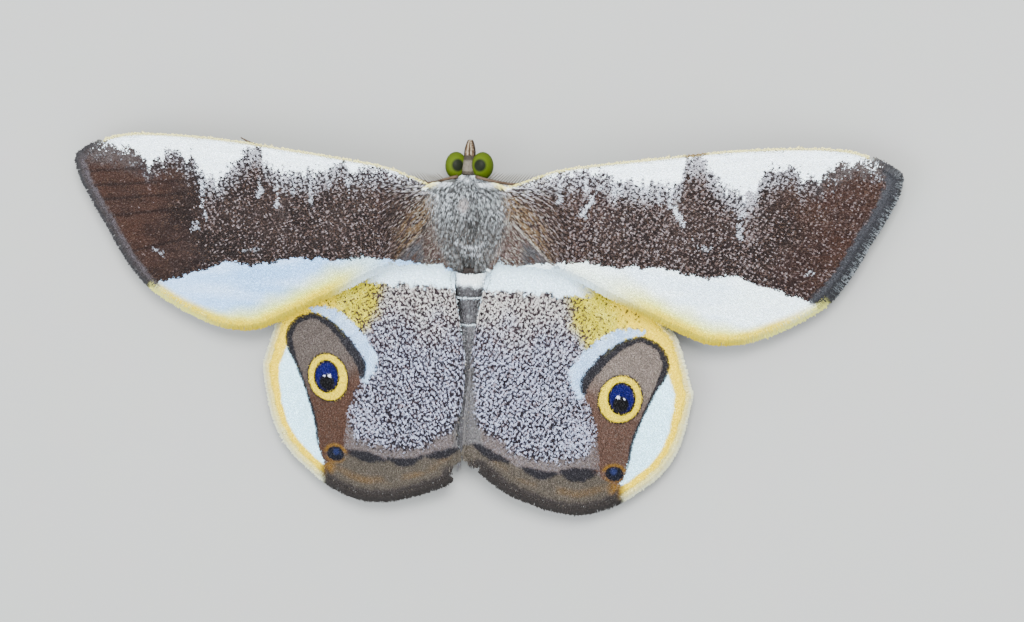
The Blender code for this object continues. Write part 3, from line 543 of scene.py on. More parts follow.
def hindTint(p, label):
    m = forSide(hindMarks, label)
    n = len(p)
    outline = outlines["hind", label]
    first, last = nearPoint(outline, m["outerFrom"]), nearPoint(outline, fringes["hind"]["to"])
    margin = lineDistance(p, outline[first:last + 1])
    innerDistance = lineDistance(p, outline[last + 8:])
    q = p - np.array(m["offset"])
    u, v = q.T
    roll = draw(n)
    # pepper of winding pale and dark scales, yellow towards the forewing
    toYellow = u - tableAt(v, m["patchEdge"]) + 0.5 * wave(q, 0.3, 35)
    toLow = v - tableAt(u, m["pepperLow"]) + 0.5 * wave(q, 0.25, 34) + gauss(0, 0.12, n)
    limit = m["limit"] - 0.11 * fade(toYellow, -0.5, 0.6) - 0.19 * fade(toYellow, 0.2, 1.6)
    limit = limit - 0.12 * fade(np.hypot(u - 4.2, v + 10.8), 1.4, 0.4)
    limit = limit + 0.1 * fade(toLow, 0.8, 0) - 0.06 * fade(v, -5.5, -3.5)
    light = fade(worms(q, 0.086, 33) - limit, -0.07, 0.07)
    maroon = 0.5 * grain(q, 0.6, 45) * fade(v, -8, -4) + 0.5 * fade(toYellow, -0.8, 0.2)
    dark = layers(m, "grainDark", ("maroon", maroon))
    pale = layers(
        m, "grainLilac", ("grainCream", fade(v + 1.5 * wave(q, 0.9, 52), -6.5, -3.5)),
        ("grainPink", (draw(n) < 0.22) * fade(toYellow, 0.4, -0.2) * 0.85))
    pale = layers(
        m, pale * (0.8 + 0.4 * draw(n))[:, None], ("sand", fade(toYellow, -0.8, 0.2)),
        ("sandPale", fade(toYellow, -0.5, 0.8) * grain(q, 0.25, 48) * (roll > 0.3)),
        ("yellow", fade(toYellow, 1.6, 3)))
    top = -2.85 + 0.35 * wave(q, 0.2, 36) + 0.25 * wave(q, 0.1, 46)
    # smooth grey along the inner edge
    wide = tableAt(p[:, 1], m["grey"])
    inner = fade(innerDistance + 0.3 * wave(q * [1, 0.7], 0.15, 37), wide + 0.12, wide - 0.14) * fade(wide, 0, 0.1)
    # pale edge and the yellow line inside it
    start, wide = 0.29 + 0.12 * fade(v, -7.5, -11), 0.7 - 0.32 * fade(v, -6.5, -11)
    golden = np.abs(margin - start - wide / 2 + 0.08 * wave(q, 0.4, 38))
    golden = fade(golden, wide / 2 + 0.07, wide / 2 - 0.09) * fade(u, 5.7, 6.4)
    # dusky hind band with dark lenses above it
    spots = sorted(s for line, half in m["lenses"] for s in line) + [(6.6, -13.3)]
    below = tableAt(p[:, 0], spots) - p[:, 1] + 0.14 * wave(q, 0.3, 39)
    glow = 0.42 * fade(np.abs(margin - 1.2), 0.35, 0.05) * fade(grain(q, 0.8, 50), 0.25, 0.7) * fade(u, -1.3, -0.1)
    band = layers(
        m, "olive", ("orange", glow), ("orange", fade(np.hypot(u - 6.3, v + 13.4), 0.75, 0.2)),
        ("dusk", fade(margin + 0.15 * wave(q, 0.3, 53), 0.85, 0.55) * fade(u, 6.6, 6.1)),
        ("dun", 0.35 * (roll < 0.12) * fade(margin, 0.4, 0.8)))
    lenses = [[(*spot, half * share) for spot, share in zip(line, (0.4, 1.4, 0.4))] for line, half in m["lenses"]]
    # white crescent, brown column, dark loop
    crescent = stroke(q, m["crescent"], 0.12 * wave(q, 0.2, 40) - 0.35 * np.minimum(worms(q, 0.11, 33), 0.1))
    warp = 0.1 * columns(wave(q, 0.25, 41), wave(q, 0.25, 42))
    inColumn = insideLoop(q + warp, smoothLine(m["column"] + [m["column"][0]], 0.4)[:-1])
    # the column's dun and brown are painted darker on the left wing, as shade
    column = layers(m, "dun", ("brown", fade(v + 0.4 * (u - 6.4), -7.2, -9.6)), ("dun", 0.35 * (roll < 0.2)))

    def oval(name):
        (cx, cy), (rx, ry) = m[name]
        return (u - cx) / rx, (v - cy) / ry
    # eyespot, then the small spot under its orange arc
    du, dv = oval("ring")
    ring = np.hypot(du, dv) * (1 - 0.06 * np.clip(du * dv, -1, 1))
    pupil, core = np.hypot(*oval("pupil")), np.hypot(*oval("core"))
    cx, cy = m["pupil"][0]
    glint = np.minimum(np.hypot(u - cx + 0.17, v - cy - 0.06), np.hypot(u - cx - 0.14, v - cy) + 0.03)
    du, dv = (p - m["small"]).T
    small = np.hypot(du / 0.5, dv / 0.42)
    arc = fade(small, 1.55, 1.2) * fade(dv, -0.05, 0.2) + 0.6 * fade(small, 1.5, 1.1) * fade(dv, -0.1, -0.3)
    return layers(
        m, dark, (pale, light), ("taupe", 0.9 * fade(toLow, 0.15, -0.15)),
        ("dun", 0.5 * fade(toLow, 0.15, -0.15) * (roll < 0.3)),
        ("topWhite", fade(v - top, -0.06, 0.06) * fade(u, 4.8, 3.2)), ("inner", inner * 0.92),
        ("topWhite", 0.55 * fade(innerDistance, 0.1, 0.05) * fade(v, *m["innerWhite"])),
        ("white", insideLoop(q, np.array(m["field"]))),
        ("fringe", fade(margin, start + 0.12, start - 0.02) * fade(u, 5.7, 6.6)), ("yellow", 1.1 * golden),
        ("yellow", fade(margin, 1.6, 1.05) * fade(v, -7.2, -5.4) * fade(u, 7, 8) * 1.1),
        (band, fade(below, -0.06, 0.1) * fade(u, 6.9, 6.3)),
        *(("line", 0.96 * stroke(p, lens, 0.12 * wave(q, 0.2, 54), 0.09)) for lens in lenses),
        ("crescentWhite", crescent), ("topWhite", crescent * grain(q, 0.5, 51) * 0.3), (column, inColumn),
        ("brown", 0.75 * fade(lineDistance(q, m["blend"]), 0.7, 0.1) * (roll < 0.5)),
        ("line", 0.97 * stroke(q, m["loop"], 0.07 * wave(q, 0.14, 44))),
        ("edge", 0.9 * fade(ring, 1.13, 1.05)), ("ringYellow", fade(ring, 1.03, 0.98)),
        ("black", fade(pupil, 1.03, 0.97)), ("blue", fade(pupil, 0.9, 0.8) * fade(core, 0.85, 1.1)),
        ("glint", glint < 0.085), ("orange", arc), ("navy", fade(small, 1.06, 0.94)),
        ("smallBlue", fade(np.hypot(du + 0.05, dv - 0.12), 0.26, 0.1) * 0.9))


tints = {"fore": foreTint, "hind": hindTint}
print("markings ready")


def newNode(mat, kind, **values):
    node = mat.node_tree.nodes.new("ShaderNode" + kind)
    for name, value in values.items():
        node.inputs[name].default_value = value
    return node


# a noise breaks up the mesh's own tint, or one colour where that is given
def newMaterial(name, roughness, colour=None, specular=0.1, speckle=0.2, size=14000, bump=0):
    mat = bpy.data.materials.new(name)
    mat.use_nodes = True
    shader, link = mat.node_tree.nodes["Principled BSDF"], mat.node_tree.links.new
    shader.inputs["Roughness"].default_value = roughness
    shader.inputs["Specular IOR Level"].default_value = specular
    noise = newNode(mat, "TexNoise", Scale=size, Detail=2)
    link(newNode(mat, "TexCoord").outputs["Object"], noise.inputs["Vector"])
    mix = newNode(mat, "Mix")
    mix.data_type, mix.blend_type = "RGBA", "MULTIPLY"
    mix.inputs["Factor"].default_value = speckle
    if colour is None:
        read = newNode(mat, "Attribute")
        read.attribute_name = "tint"
        link(read.outputs["Color"], mix.inputs["A"])
    else:
        mix.inputs["A"].default_value = (*colour, 1)
    link(noise.outputs["Color"], mix.inputs["B"])
    link(mix.outputs["Result"], shader.inputs["Base Color"])
    if bump:
        height = newNode(mat, "Bump", Strength=bump, Distance=0.00002)
        link(noise.outputs["Fac"], height.inputs["Height"])
        link(height.outputs["Normal"], shader.inputs["Normal"])
    return mat


scaleCoat = newMaterial("scaleCoat", 0.6, specular=0.05, speckle=0.12)
hairCoat = newMaterial("hairCoat", 0.5, specular=0.12, speckle=0.15)
skinCoat = newMaterial("skinCoat", 0.6, specular=0.15, speckle=0.35, bump=0.6)

# one flat scale and one hair; every tuft is a copy of one of them
vane = {
    "verts": np.array([(0, 0, 0), (1, 0.5, 1), (1, -0.5, 1), (0.62, 0, -0.4)]),
    "faces": [(0, 2, 1), (0, 1, 3), (1, 2, 3), (2, 0, 3)],
}
hair = {
    "verts": np.array([
        (0, 0.5, 0), (0, -0.5, 0), (0, 0, 0.8), (0.55, 0.38, 0), (0.55, -0.38, 0), (0.5, 0, 0.6), (1, 0, 0)]),
    "faces": [(0, 2, 1), (0, 1, 4, 3), (1, 2, 5, 4), (2, 0, 3, 5), (3, 4, 6), (4, 5, 6), (5, 3, 6)],
}
tuftPatch = 0.003


def linked(name, data):
    piece = bpy.data.objects.new(name, data)
    bpy.context.collection.objects.link(piece)
    return piece


# place is root, direction and normal; size is length, width and lift; shades are the tint's share at root and tip
def tuftPiece(name, shape, place, size, uv, tint, shades=(0.85, 1.1), material=hairCoat):
    root, along, up = place
    n, v = len(root), shape["verts"]
    length, width, lift = (np.broadcast_to(q, n)[:, None] for q in size)
    rise = lift * v[:, 2] if shape is vane else lift * np.sin(v[:, 0] * 2.2) + width * v[:, 2]
    co = root[:, None]
    for way, amount in ((along, length * v[:, 0]), (unit(np.cross(up, along)), width * v[:, 1]), (up, rise)):
        co = co + way[:, None] * amount[..., None]
    corners, sizes = np.concatenate(shape["faces"]), np.array([len(f) for f in shape["faces"]])
    starts = np.concatenate([[0], np.cumsum(np.tile(sizes, n))[:-1]])
    loops = (np.arange(n)[:, None] * len(v) + corners).ravel()
    mesh = bpy.data.meshes.new(name)
    mesh.vertices.add(n * len(v))
    mesh.loops.add(len(loops))
    mesh.polygons.add(len(starts))
    mesh.vertices.foreach_set("co", (co.reshape(-1) * mm).astype(np.float32))
    mesh.loops.foreach_set("vertex_index", loops.astype(np.int32))
    mesh.polygons.foreach_set("loop_start", starts.astype(np.int32))
    mesh.update(calc_edges=True)
    low, high = tint if isinstance(tint, tuple) else (tint, tint)
    low, high = (low * shades[0])[:, None], np.clip(high * shades[1], 0, 1)[:, None]
    share = v[None, :, :1]
    colours = np.concatenate([np.clip(low * (1 - share) + high * share, 0, 1), np.ones((n, len(v), 1))], 2)
    attribute = mesh.attributes.new("tint", "FLOAT_COLOR", "POINT")
    attribute.data.foreach_set("color", colours.astype(np.float32).ravel())
    patch = (columns(v[:, 0] - 0.5, v[:, 1]) * tuftPatch)[corners]
    mesh.uv_layers.new(name="OFBake").data.foreach_set("uv", (uv[:, None] + patch).astype(np.float32).ravel())
    mesh.materials.append(material)
    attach(linked(name, mesh), "root")
    print(name, n, "tufts", n * (sum(sizes) - 2 * len(sizes)), "triangles")


def jitter(tint, spread):
    amount = spread * (1 - 0.72 * fade(tint.mean(1), 0.1, 0.5))
    return tint * np.clip(1 + gauss(0, 1, len(tint)) * amount, 0.55, 1.6)[:, None]


def outlineUv(kind, label, p):
    outline = outlines[kind, label]
    return (p - outline.min(0)) / (outline.max(0) - outline.min(0)).max() * 0.98 + 0.01


# values from 0 to 1 as a place on the unwrap, clear of its edge
def stripUv(a, b):
    return columns(a, b) * 0.96 + 0.02


def rotated(d, turn):
    return columns(d[:, 0] * np.cos(turn) - d[:, 1] * np.sin(turn), d[:, 0] * np.sin(turn) + d[:, 1] * np.cos(turn))


def wingScales(kind, label, layer):
    w, outline = wings[kind], outlines[kind, label]
    top = layer == "top"
    spread = wings[layer]["spread"] / math.sqrt(dense)
    step = np.array(w["rows"]) * spread
    gu, gv = np.meshgrid(*(np.arange(a, b, s) for a, b, s in zip(outline.min(0), outline.max(0), step)), indexing="ij")
    gv = gv + 0.5 * step[1] * (np.arange(len(gv)) % 2)[:, None]
    p = columns(gu.ravel(), gv.ravel())
    p = p + (draw(p.shape) - 0.5) * step
    p = p[onWing(p, kind, label, wings[layer])]
    n = len(p)
    vary = wings["vary"]
    d = rotated(unit(p - np.array(w["flow"])), gauss(0, vary["turn"], n))
    size = (1 + gauss(0, vary["size"], n)) * spread
    length, width, lift = (s * size for s in w["scale"])
    lift = lift * (1 + gauss(0, vary["lift"], n)) / size * spread ** 0.5
    tint = tints[kind](p + wings["tipAt"] * length[:, None] * d, label)
    if not top:
        tint = paint(tint, wings["under"]["tone"], np.full(n, wings["under"]["cover"]))
    sign = 1 if top else -1
    base = topAt(kind, label, p) - w["coatDepth"] - (0 if top else w["thick"])
    place = wingPlace(kind, label, p, base - sign * wings["sink"], d, 0, sign)
    name = kind + "wing" + ("Scales" if top else "UnderScales") + label.capitalize()
    tint = jitter(tint, vary["tint"])
    tuftPiece(name, vane, place, (length, width, lift), outlineUv(kind, label, p), tint, (0.94, 1.05), scaleCoat)


# colour of a fringe's tips; its roots take the wing's own colour
def fringeTip(kind, p, label):
    m = {**forSide(hindMarks, label), **fringes["tones"]}
    u, v = p.T
    roll = draw(len(p))
    if kind == "hind":
        dusk = layers(m, "tipDusk", ("dun", (roll < 0.06) * 0.35))
        return layers(m, "fringeEdge", (dusk, fade(u, 6.5, 6.2) * fade(v, -11, -12)))
    pale = (roll < 0.45) * (label == "right")
    trail = layers(
        m, "trail", ("trailGold", fade(u, 14.5, 11.5) * fade(u, 4.6, 7)), ("topWhite", fade(u, 6.4, 4.2)))
    turn = fringes["turn"][label]
    return layers(
        m, "tip", ("tipPale", pale * fade(v, -4.9, -3.6) * fade(v, 2.2, 1)), ("tipCosta", fade(v, 2.2, 2.8)),
        (trail, fade(u, turn, turn - 0.2)))


# long narrow scales in two layers that reach the wing's true edge
def wingFringe(kind, label):
    f, vary = {**fringes, **fringes[kind]}, fringes["vary"]
    line = edgeParts(kind, label)[0]
    run = runOf(line)
    tangent = np.gradient(line, axis=0)
    outward = unit(columns(-tangent[:, 1], tangent[:, 0]))
    count = int(run[-1] / f["step"] * dense)
    parts = []
    for row in range(f["rows"]):
        s = np.sort(draw(count)) * run[-1]
        out = unit(valuesAt(s, run, outward))
        back = f["inset"] + row * f["back"]
        reach = back * (1 if row < 2 else f["short"]) + gauss(0, vary["reach"], count)
        parts.append((valuesAt(s, run, line) - out * back, out, reach, np.full(count, row)))
    p, out, reach, row = (np.concatenate(q) for q in zip(*parts))
    n = len(p)
    out = rotated(out, gauss(0, vary["turn"], n))
    height = topAt(kind, label, p) - wings[kind]["coatDepth"] - f["sink"]
    height = height + f["rise"][0] * (row % 2) + f["rise"][1] * (row >= 2)
    tip = fringeTip(kind, p, label)
    root = paint(tip, tints[kind](p, label), np.full(n, f["cover"]))
    tip = np.where((row >= 2)[:, None], 0.5 * (root + tip), tip)
    width = f["width"] * (1 + gauss(0, vary["width"], n)) / math.sqrt(dense)
    size = (reach, width, gauss(*f["lift"], n))
    place = wingPlace(kind, label, p, height, out, f["dip"])
    tint = (jitter(root, 0.12), jitter(tip, 0.15))
    tuftPiece(kind + "wingFringe" + label.capitalize(), vane, place, size, outlineUv(kind, label, p), tint, (1, 1))


# fur on the forewing's root and along the hindwing's inner edge
wingHair = {
    "fore": {
        "name": "forewingRootHair", "count": 3400, "length": (0.25, 0.06), "width": 0.032, "lift": (0.03, 0.012),
        "sink": 0.08, "dip": 0, "jitter": 0.25, "shades": (0.85, 1.2), "from": (-0.2, 1), "span": (3.2, -3.9),
    },
    "hind": {
        "name": "hindwingInnerHair", "count": 900, "length": (0.24, 0.06), "width": 0.032, "lift": (0.015, 0.01),
        "sink": 0.09, "dip": -0.04, "jitter": 0.2, "shades": (0.7, 0.9),
    },
}


def wingFur(kind, label):
    h = wingHair[kind]
    n = int(h["count"] * dense)
    if kind == "fore":
        p = h["from"] + columns(draw(n) ** 1.4, draw(n)) * h["span"]
        d = rotated(unit(columns(1, -0.15 - 0.9 * fade(p[:, 1], 0.8, -0.4))), gauss(0, 0.12, n))
        seen = np.clip(p + 0.14 * d, [0.2, -3.1], [9, 9])
    else:
        line = outlines[kind, label][nearPoint(outlines[kind, label], fringes[kind]["to"]) + 3:]
        line = line[line[:, 1] < -1.4]
        run = runOf(line)
        p = valuesAt(draw(n) * run[-1], run, line) + columns(0.02 + 0.14 * draw(n), 0)
        d = rotated(ground((-0.1, -1), n), gauss(0, 0.08, n))
        seen = p + [0.05, -0.1]
    tint = jitter(tints[kind](seen, label), h["jitter"])
    size = (np.abs(gauss(*h["length"], n)), h["width"], gauss(*h["lift"], n))
    place = wingPlace(kind, label, p, topAt(kind, label, p) - h["sink"], d, h["dip"])
    tuftPiece(h["name"] + label.capitalize(), hair, place, size, outlineUv(kind, label, p), tint, h["shades"])


# a thin sheet that fills the outline, a little inside it
def membrane(kind, label):
    w, space, outline = wings[kind], wings["membrane"], outlines[kind, label]
    cell = space["cell"]
    low, high = outline.min(0) - cell, outline.max(0) + cell
    nx, ny = (int(k) for k in np.ceil((high - low) / cell))
    bm = bmesh.new()
    bmesh.ops.create_grid(bm, x_segments=nx, y_segments=ny, size=0.5)
    bmesh.ops.translate(bm, vec=(0.5, 0.5, 0), verts=bm.verts)
    bmesh.ops.scale(bm, vec=(nx * cell, ny * cell, 1), verts=bm.verts)
    bmesh.ops.translate(bm, vec=(*low, 0), verts=bm.verts)
    keep = onWing(np.array([v.co[:2] for v in bm.verts]), kind, label, space)
    bmesh.ops.delete(bm, geom=[v for v, k in zip(bm.verts, keep) if not k], context="VERTS")
    bmesh.ops.delete(bm, geom=[v for v in bm.verts if not v.link_faces], context="VERTS")
    for repeat in range(3):
        rim = [v for v in bm.verts if any(e.is_boundary for e in v.link_edges)]
        bmesh.ops.smooth_vert(bm, verts=rim, factor=0.5, use_axis_x=True, use_axis_y=True, use_axis_z=False)
    p = np.array([v.co[:2] for v in bm.verts])
    place, _, up = wingPlace(kind, label, p, topAt(kind, label, p) - w["coatDepth"])
    layer = bm.verts.layers.float_color.new("tint")
    for vert, spot, tone in zip(bm.verts, place, tints[kind](p, label)):
        vert.co = spot
        vert[layer] = (*tone, 1)
    added = bmesh.ops.extrude_face_region(bm, geom=bm.faces[:], use_keep_orig=True)["geom"]
    lower = [g for g in added if isinstance(g, bmesh.types.BMVert)]
    bmesh.ops.translate(bm, vec=-w["thick"] * up[0], verts=lower)
    bmesh.ops.recalc_face_normals(bm, faces=bm.faces)
    return bm


# body, legs and feelers are rings carried along a line
def sweep(stations, ringSides=16, step=0.4, upright=False):
    rows = smoothLine(stations, step)
    bm = bmesh.new()
    ring = bmesh.ops.create_circle(bm, cap_ends=True, segments=ringSides, radius=1)["verts"]
    cap = bm.faces[:]
    before = Matrix.Identity(4)
    for i, row in enumerate(rows):
        ahead = Vector((0, -1, 0)) if upright else Vector(rows[min(i + 1, len(rows) - 1)][:3] - rows[max(i - 1, 0)][:3])
        ahead = ahead.normalized()
        side = ahead.cross(Vector((0, 0, 1))).normalized()
        turn = Matrix((side, side.cross(ahead), ahead)).transposed().to_4x4()
        size = Matrix.Diagonal((max(row[3], 0.01), max(row[4], 0.01), 1, 1))
        now = Matrix.Translation(Vector(row[:3])) @ turn @ size
        if i:
            grown = bmesh.ops.extrude_face_region(bm, geom=cap, use_keep_orig=(i == 1))["geom"]
            ring = [g for g in grown if isinstance(g, bmesh.types.BMVert)]
            cap = [g for g in grown if isinstance(g, bmesh.types.BMFace) and all(v in ring for v in g.verts)]
        bmesh.ops.transform(bm, matrix=now @ before.inverted(), verts=ring)
        before = now
    bmesh.ops.recalc_face_normals(bm, faces=bm.faces)
    return bm


def fromMesh(name, bm):
    bmesh.ops.scale(bm, vec=(mm, mm, mm), verts=bm.verts)
    mesh = bpy.data.meshes.new(name)
    bm.to_mesh(mesh)
    bm.free()
    return linked(name, mesh)


skinParts = []


def addSkin(bm, tone=None):
    if tone is not None:
        layer = bm.verts.layers.float_color.new("tint")
        for vert in bm.verts:
            vert[layer] = (*tone, 1)
    skinParts.append(fromMesh("skinPart", bm))


def place3(x, y, z):
    return (x + shift[0], y + shift[1], z)


for kind, label in outlines:
    addSkin(membrane(kind, label))
    wingScales(kind, label, "top")
    wingScales(kind, label, "under")
    wingFringe(kind, label)
    wingFur(kind, label)
print("wings made")


# body stations: y, centre height, half width, half height
trunk = {
    "low": -14.2, "long": 17.6,
    "stations": [
        (2.95, 1.86, 0.16, 0.24), (2.75, 1.9, 0.34, 0.44), (2.3, 1.98, 0.42, 0.62), (1.75, 2.02, 0.6, 0.62),
        (1.4, 2.14, 0.92, 0.74), (0.85, 2.28, 1.1, 1.06), (0.2, 2.28, 1.5, 1.32), (-0.7, 2.28, 1.72, 1.46),
        (-1.7, 2.24, 1.62, 1.4), (-2.5, 2.1, 1.26, 1.14), (-3, 1.92, 1.04, 0.92), (-3.8, 1.67, 0.98, 0.86),
        (-4.6, 1.5, 0.85, 0.82), (-6, 1.2, 0.7, 0.7), (-8, 0.95, 0.55, 0.56), (-10.5, 0.86, 0.47, 0.48),
        (-12.8, 0.84, 0.38, 0.39), (-13.7, 0.84, 0.24, 0.26), (-14, 0.84, 0.1, 0.11),
    ],
    "coatDepth": 0.09, "rings": [-4.75, -6.3], "rearRim": (0.014, 0.011, 0.01), "white": (0.8, 0.93, 1),
    "grey": (0.066, 0.068, 0.071), "pale": (0.185, 0.207, 0.217), "dark": (0.012, 0.012, 0.0115),
    "under": (0.36, 0.33, 0.28), "brown": (0.055, 0.037, 0.025), "pink": (0.26, 0.235, 0.235),
    "collar": (0.42, 0.46, 0.5), "belly": (0.062, 0.061, 0.066), "bellyDark": (0.03, 0.028, 0.029),
    "beltWhite": (0.36, 0.43, 0.48),
    "cup": [(-0.26, -0.1, 0.05), (-0.2, -0.5, 0.07), (0.13, -0.76, 0.08), (0.44, -0.5, 0.07), (0.54, -0.1, 0.05)],
    "chevrons": [
        [(-0.9, -1.42, 0.06), (-0.05, -1.92, 0.09), (0.8, -1.38, 0.06)],
        [(-0.6, -2, 0.04), (-0.05, -2.3, 0.06), (0.5, -2, 0.04)],
    ],
}
trunkLine = smoothLine([(axisAt(y), y, z, hw, hh) for y, z, hw, hh in trunk["stations"]], 0.25)
trunkRows = trunkLine[np.argsort(trunkLine[:, 1])]


# centre x and height, half width and half height of the trunk
def trunkValues(y):
    return (np.interp(y, trunkRows[:, 1], trunkRows[:, k]) for k in (0, 2, 3, 4))


def trunkPoint(y, angle):
    cx, cz, hw, hh = trunkValues(y)
    return columns(cx + hw * np.sin(angle), y, cz + hh * np.cos(angle)), hw, hh


def trunkAt(y, angle):
    root, hw, hh = trunkPoint(y, angle)
    along = unit(trunkPoint(y - 0.28, angle)[0] - root)
    up = unit(columns(np.sin(angle) / hw, 0, np.cos(angle) / hh))
    return root + shift, along, squared(up, along)


def trunkUv(y, angle):
    return stripUv(angle / (2 * math.pi) + 0.5, (y - trunk["low"]) / trunk["long"])


def trunkTint(y, angle):
    m = trunk
    q = columns(angle * 1.3, y)
    spot = trunkPoint(y, angle)[0][:, :2]
    roll = draw(len(y))
    mottle = worms(q, 0.085, 61)
    front = fade(y, -1.2, 0.9)
    pinkSpot = fade(np.hypot((spot[:, 0] + 0.42) / 0.36, (y - 0.42) / 0.46), 1, 0.5)
    arcs = fade(np.abs(y - 1.6 - 0.25 * np.cos(angle * 3.4)), 0.09, 0.03)
    # thorax, then the collar: whitish tufts with two dark arcs
    tint = layers(
        m, "grey", ("dark", fade(mottle, 0.02 - 0.12 * front, -0.14 - 0.1 * front) * 0.8),
        ("pale", fade(mottle, 0.08 - 0.1 * front, 0.22 - 0.1 * front) * (0.7 + 0.3 * front)),
        ("brown", 0.5 * (roll < 0.25) * fade(y, 0.4, -1.6)),
        ("collar", fade(mottle, 0.06, 0.2) * (grain(q, 0.5, 62) > 0.5) * front * 0.55),
        ("pink", 0.75 * pinkSpot * (roll > 0.15)), ("dark", 0.6 * stroke(spot, m["cup"], 0.08 * wave(q, 0.2, 66))),
        *(("collar", 0.7 * stroke(spot, line, 0.1 * wave(q, 0.2, 68)) * (roll > 0.3)) for line in m["chevrons"]),
        ("dark", 0.35 * fade(y, -2, -2.8)),
        ("collar", 0.85 * fade(y, 1.5, 1.62) * fade(y, 2.1, 2) * (roll > 0.25)),
        ("dark", 0.7 * arcs * fade(y, 1.2, 1.4)), ("dark", 0.92 * fade(y, -2.98, -3.08)))
    belt = layers(
        m, "belly", ("bellyDark", 0.4 * fade(grain(q, 0.3, 64), 0.4, 0.8) * fade(y, -6.4, -5.4)),
        ("bellyDark", 0.3 * fade(y, -4.62, -4.35) * fade(y, -4, -4.2)), ("pale", 0.35 * (roll < 0.14)))
    # the abdomen is painted lighter towards its tail, where it lies low in the shaded gap between the hindwings:
    # painted light
    belt = belt * (1 + 1.3 * fade(y, -5, -7.2))[:, None]
    for ringY in m["rings"]:
        belt = layers(
            m, belt, ("bellyDark", 0.5 * fade(np.abs(y - ringY - 0.15), 0.1, 0.05)),
            ("beltWhite", 0.9 * fade(np.abs(y - ringY), 0.05, 0.02)))
    waist = -4.05 + 0.3 * wave(q, 0.45, 63)
    waist = fade(y, waist - 0.12, waist + 0.16) * (1 - 0.25 * fade(np.abs(angle), 0.5, 1.1))
    return layers(
        m, tint, (belt, y < -3.2), ("white", fade(y, -3.2, -3.26) * waist),
        ("under", 0.85 * fade(np.cos(angle), -0.1, -0.5)))


def trunkPiece(
        name, shape, n, y0, y1, length, width, lift, splay=0, turn=0.14, wide=math.pi, spread=0.22, bow=0,
        tone=None):
    n = int(n * dense)
    y = y0 + (y1 - y0) * draw(n)
    angle = (draw(n) * 2 - 1) * wide
    y = y + bow * angle ** 2
    root, along, up = trunkAt(y, angle)
    side = unit(np.cross(along, up))
    along = unit(along + side * gauss(0, turn, n)[:, None] + columns(np.sin(angle), 0, 0) * splay)
    up = squared(up, along)
    tint = jitter(trunkTint(y - 0.5 * length, angle) if tone is None else ground(tone, n), spread)
    size = [s * np.abs(1 + gauss(0, vary, n)) for s, vary in ((length, 0.18), (width, 0.15), (lift, 0.3))]
    place = (root - up * trunk["coatDepth"], along, up)
    tuftPiece(name, shape, place, size, trunkUv(y, angle), tint, (0.85, 1.12))


trunkPiece("thoraxDown", hair, 5500, -3.02, 1.5, 0.28, 0.05, 0.08)
trunkPiece("thoraxFur", hair, 11500, -2.88, 1.4, 0.32, 0.036, 0.11, turn=0.3)
trunkPiece("collarFur", hair, 2200, 1.3, 2, 0.26, 0.04, 0.12, splay=0.25, turn=0.3)
trunkPiece(
    "thoraxRearRim", vane, 900, -3.03, -2.97, 0.18, 0.07, 0.32, wide=1.05, spread=0.1, bow=0.24,
    tone=trunk["rearRim"])
trunkPiece("waistScales", vane, 4600, -4.2, -3.16, 0.2, 0.1, 0.085, spread=0.06)
trunkPiece("abdomenScales", vane, 16500, -13.95, -3.9, 0.22, 0.09, 0.085, spread=0.12)
trunkPiece("abdomenHair", hair, 1200, -8.5, -4.9, 0.3, 0.03, 0.08, wide=1.9, spread=0.15)
for name, ringY in zip(("beltRingFront", "beltRingRear"), trunk["rings"]):
    trunkPiece(name, vane, 420, ringY + 0.025, ringY + 0.045, 0.07, 0.09, 0.12, wide=1.9, spread=0.1)
trunkPiece("tailTuft", hair, 600, -14, -13.2, 0.55, 0.04, 0.06)
print("trunk coat made")
depth = trunk["coatDepth"]
addSkin(sweep([(*place3(*row[:3]), *(row[3:] - depth)) for row in trunkLine], 28, 9, True), trunk["grey"])

# fur on the shoulders, from the thorax out over the wing roots
shoulder = {
    "count": 6500, "length": 0.28, "width": 0.036, "lift": 0.055, "rear": -2.95, "run": 4.66,
    "half": [(-2.95, 1.1), (-2, 1.7), (-1, 2.1), (0, 2.25), (0.8, 2.3), (1.5, 2.15), (1.72, 1.6)],
}


def foreTop(label, x, y):
    m = np.array(wingMatrix("fore", label))
    local = (columns(x, y, 3.4) + shift - m[:3, 3]) @ m[:3, :3]
    p = columns(sides[label] * local[:, 0], local[:, 1])
    return wingPlace("fore", label, p, topAt("fore", label, p))[0][:, 2]


def shoulderFur(label):
    side, s = sides[label], shoulder
    n = int(s["count"] * dense)
    y = s["rear"] + s["run"] * draw(n)
    half = tableAt(y, s["half"])
    offset = half * (0.3 + 0.74 * draw(n))
    x = side * offset + axisAt(y)
    _, cz, hw, hh = trunkValues(y)
    dome = cz + hh * np.sqrt(np.clip(1 - (offset / hw) ** 2, 0, 1))
    z = np.maximum(dome, foreTop(label, x, y) - 0.06)
    lean = 0.12 + 0.5 * (offset / half - 0.6) + 0.9 * fade(y, 0.7, 1.3) + gauss(0, 0.25, n)
    slope = -0.04 - 0.35 * fade(z - dome, 0, -0.1) * offset / hw
    along = unit(columns(side * lean, -1, slope * np.abs(lean)))
    tint = jitter(trunkTint(y, side * offset / 1.5), 0.22)
    local = columns(np.maximum(offset - 1.9, 0.1), y - 0.5)
    tint = paint(tint, foreTint(local, label), fade(offset / half + gauss(0, 0.07, n), 0.78, 0.98))
    uv = stripUv(0.5 + side * offset * 0.1, (y - trunk["low"]) / trunk["long"])
    length = np.abs(s["length"] * (1 + gauss(0, 0.2, n)))
    size = (length, s["width"], gauss(s["lift"], 0.02, n))
    place = (columns(x, y, z - 0.04) + shift, along, ground((0, 0, 1), n))
    tuftPiece("shoulderFur" + label.capitalize(), hair, place, size, uv, tint, (0.85, 1.15))


for label in sides:
    shoulderFur(label)

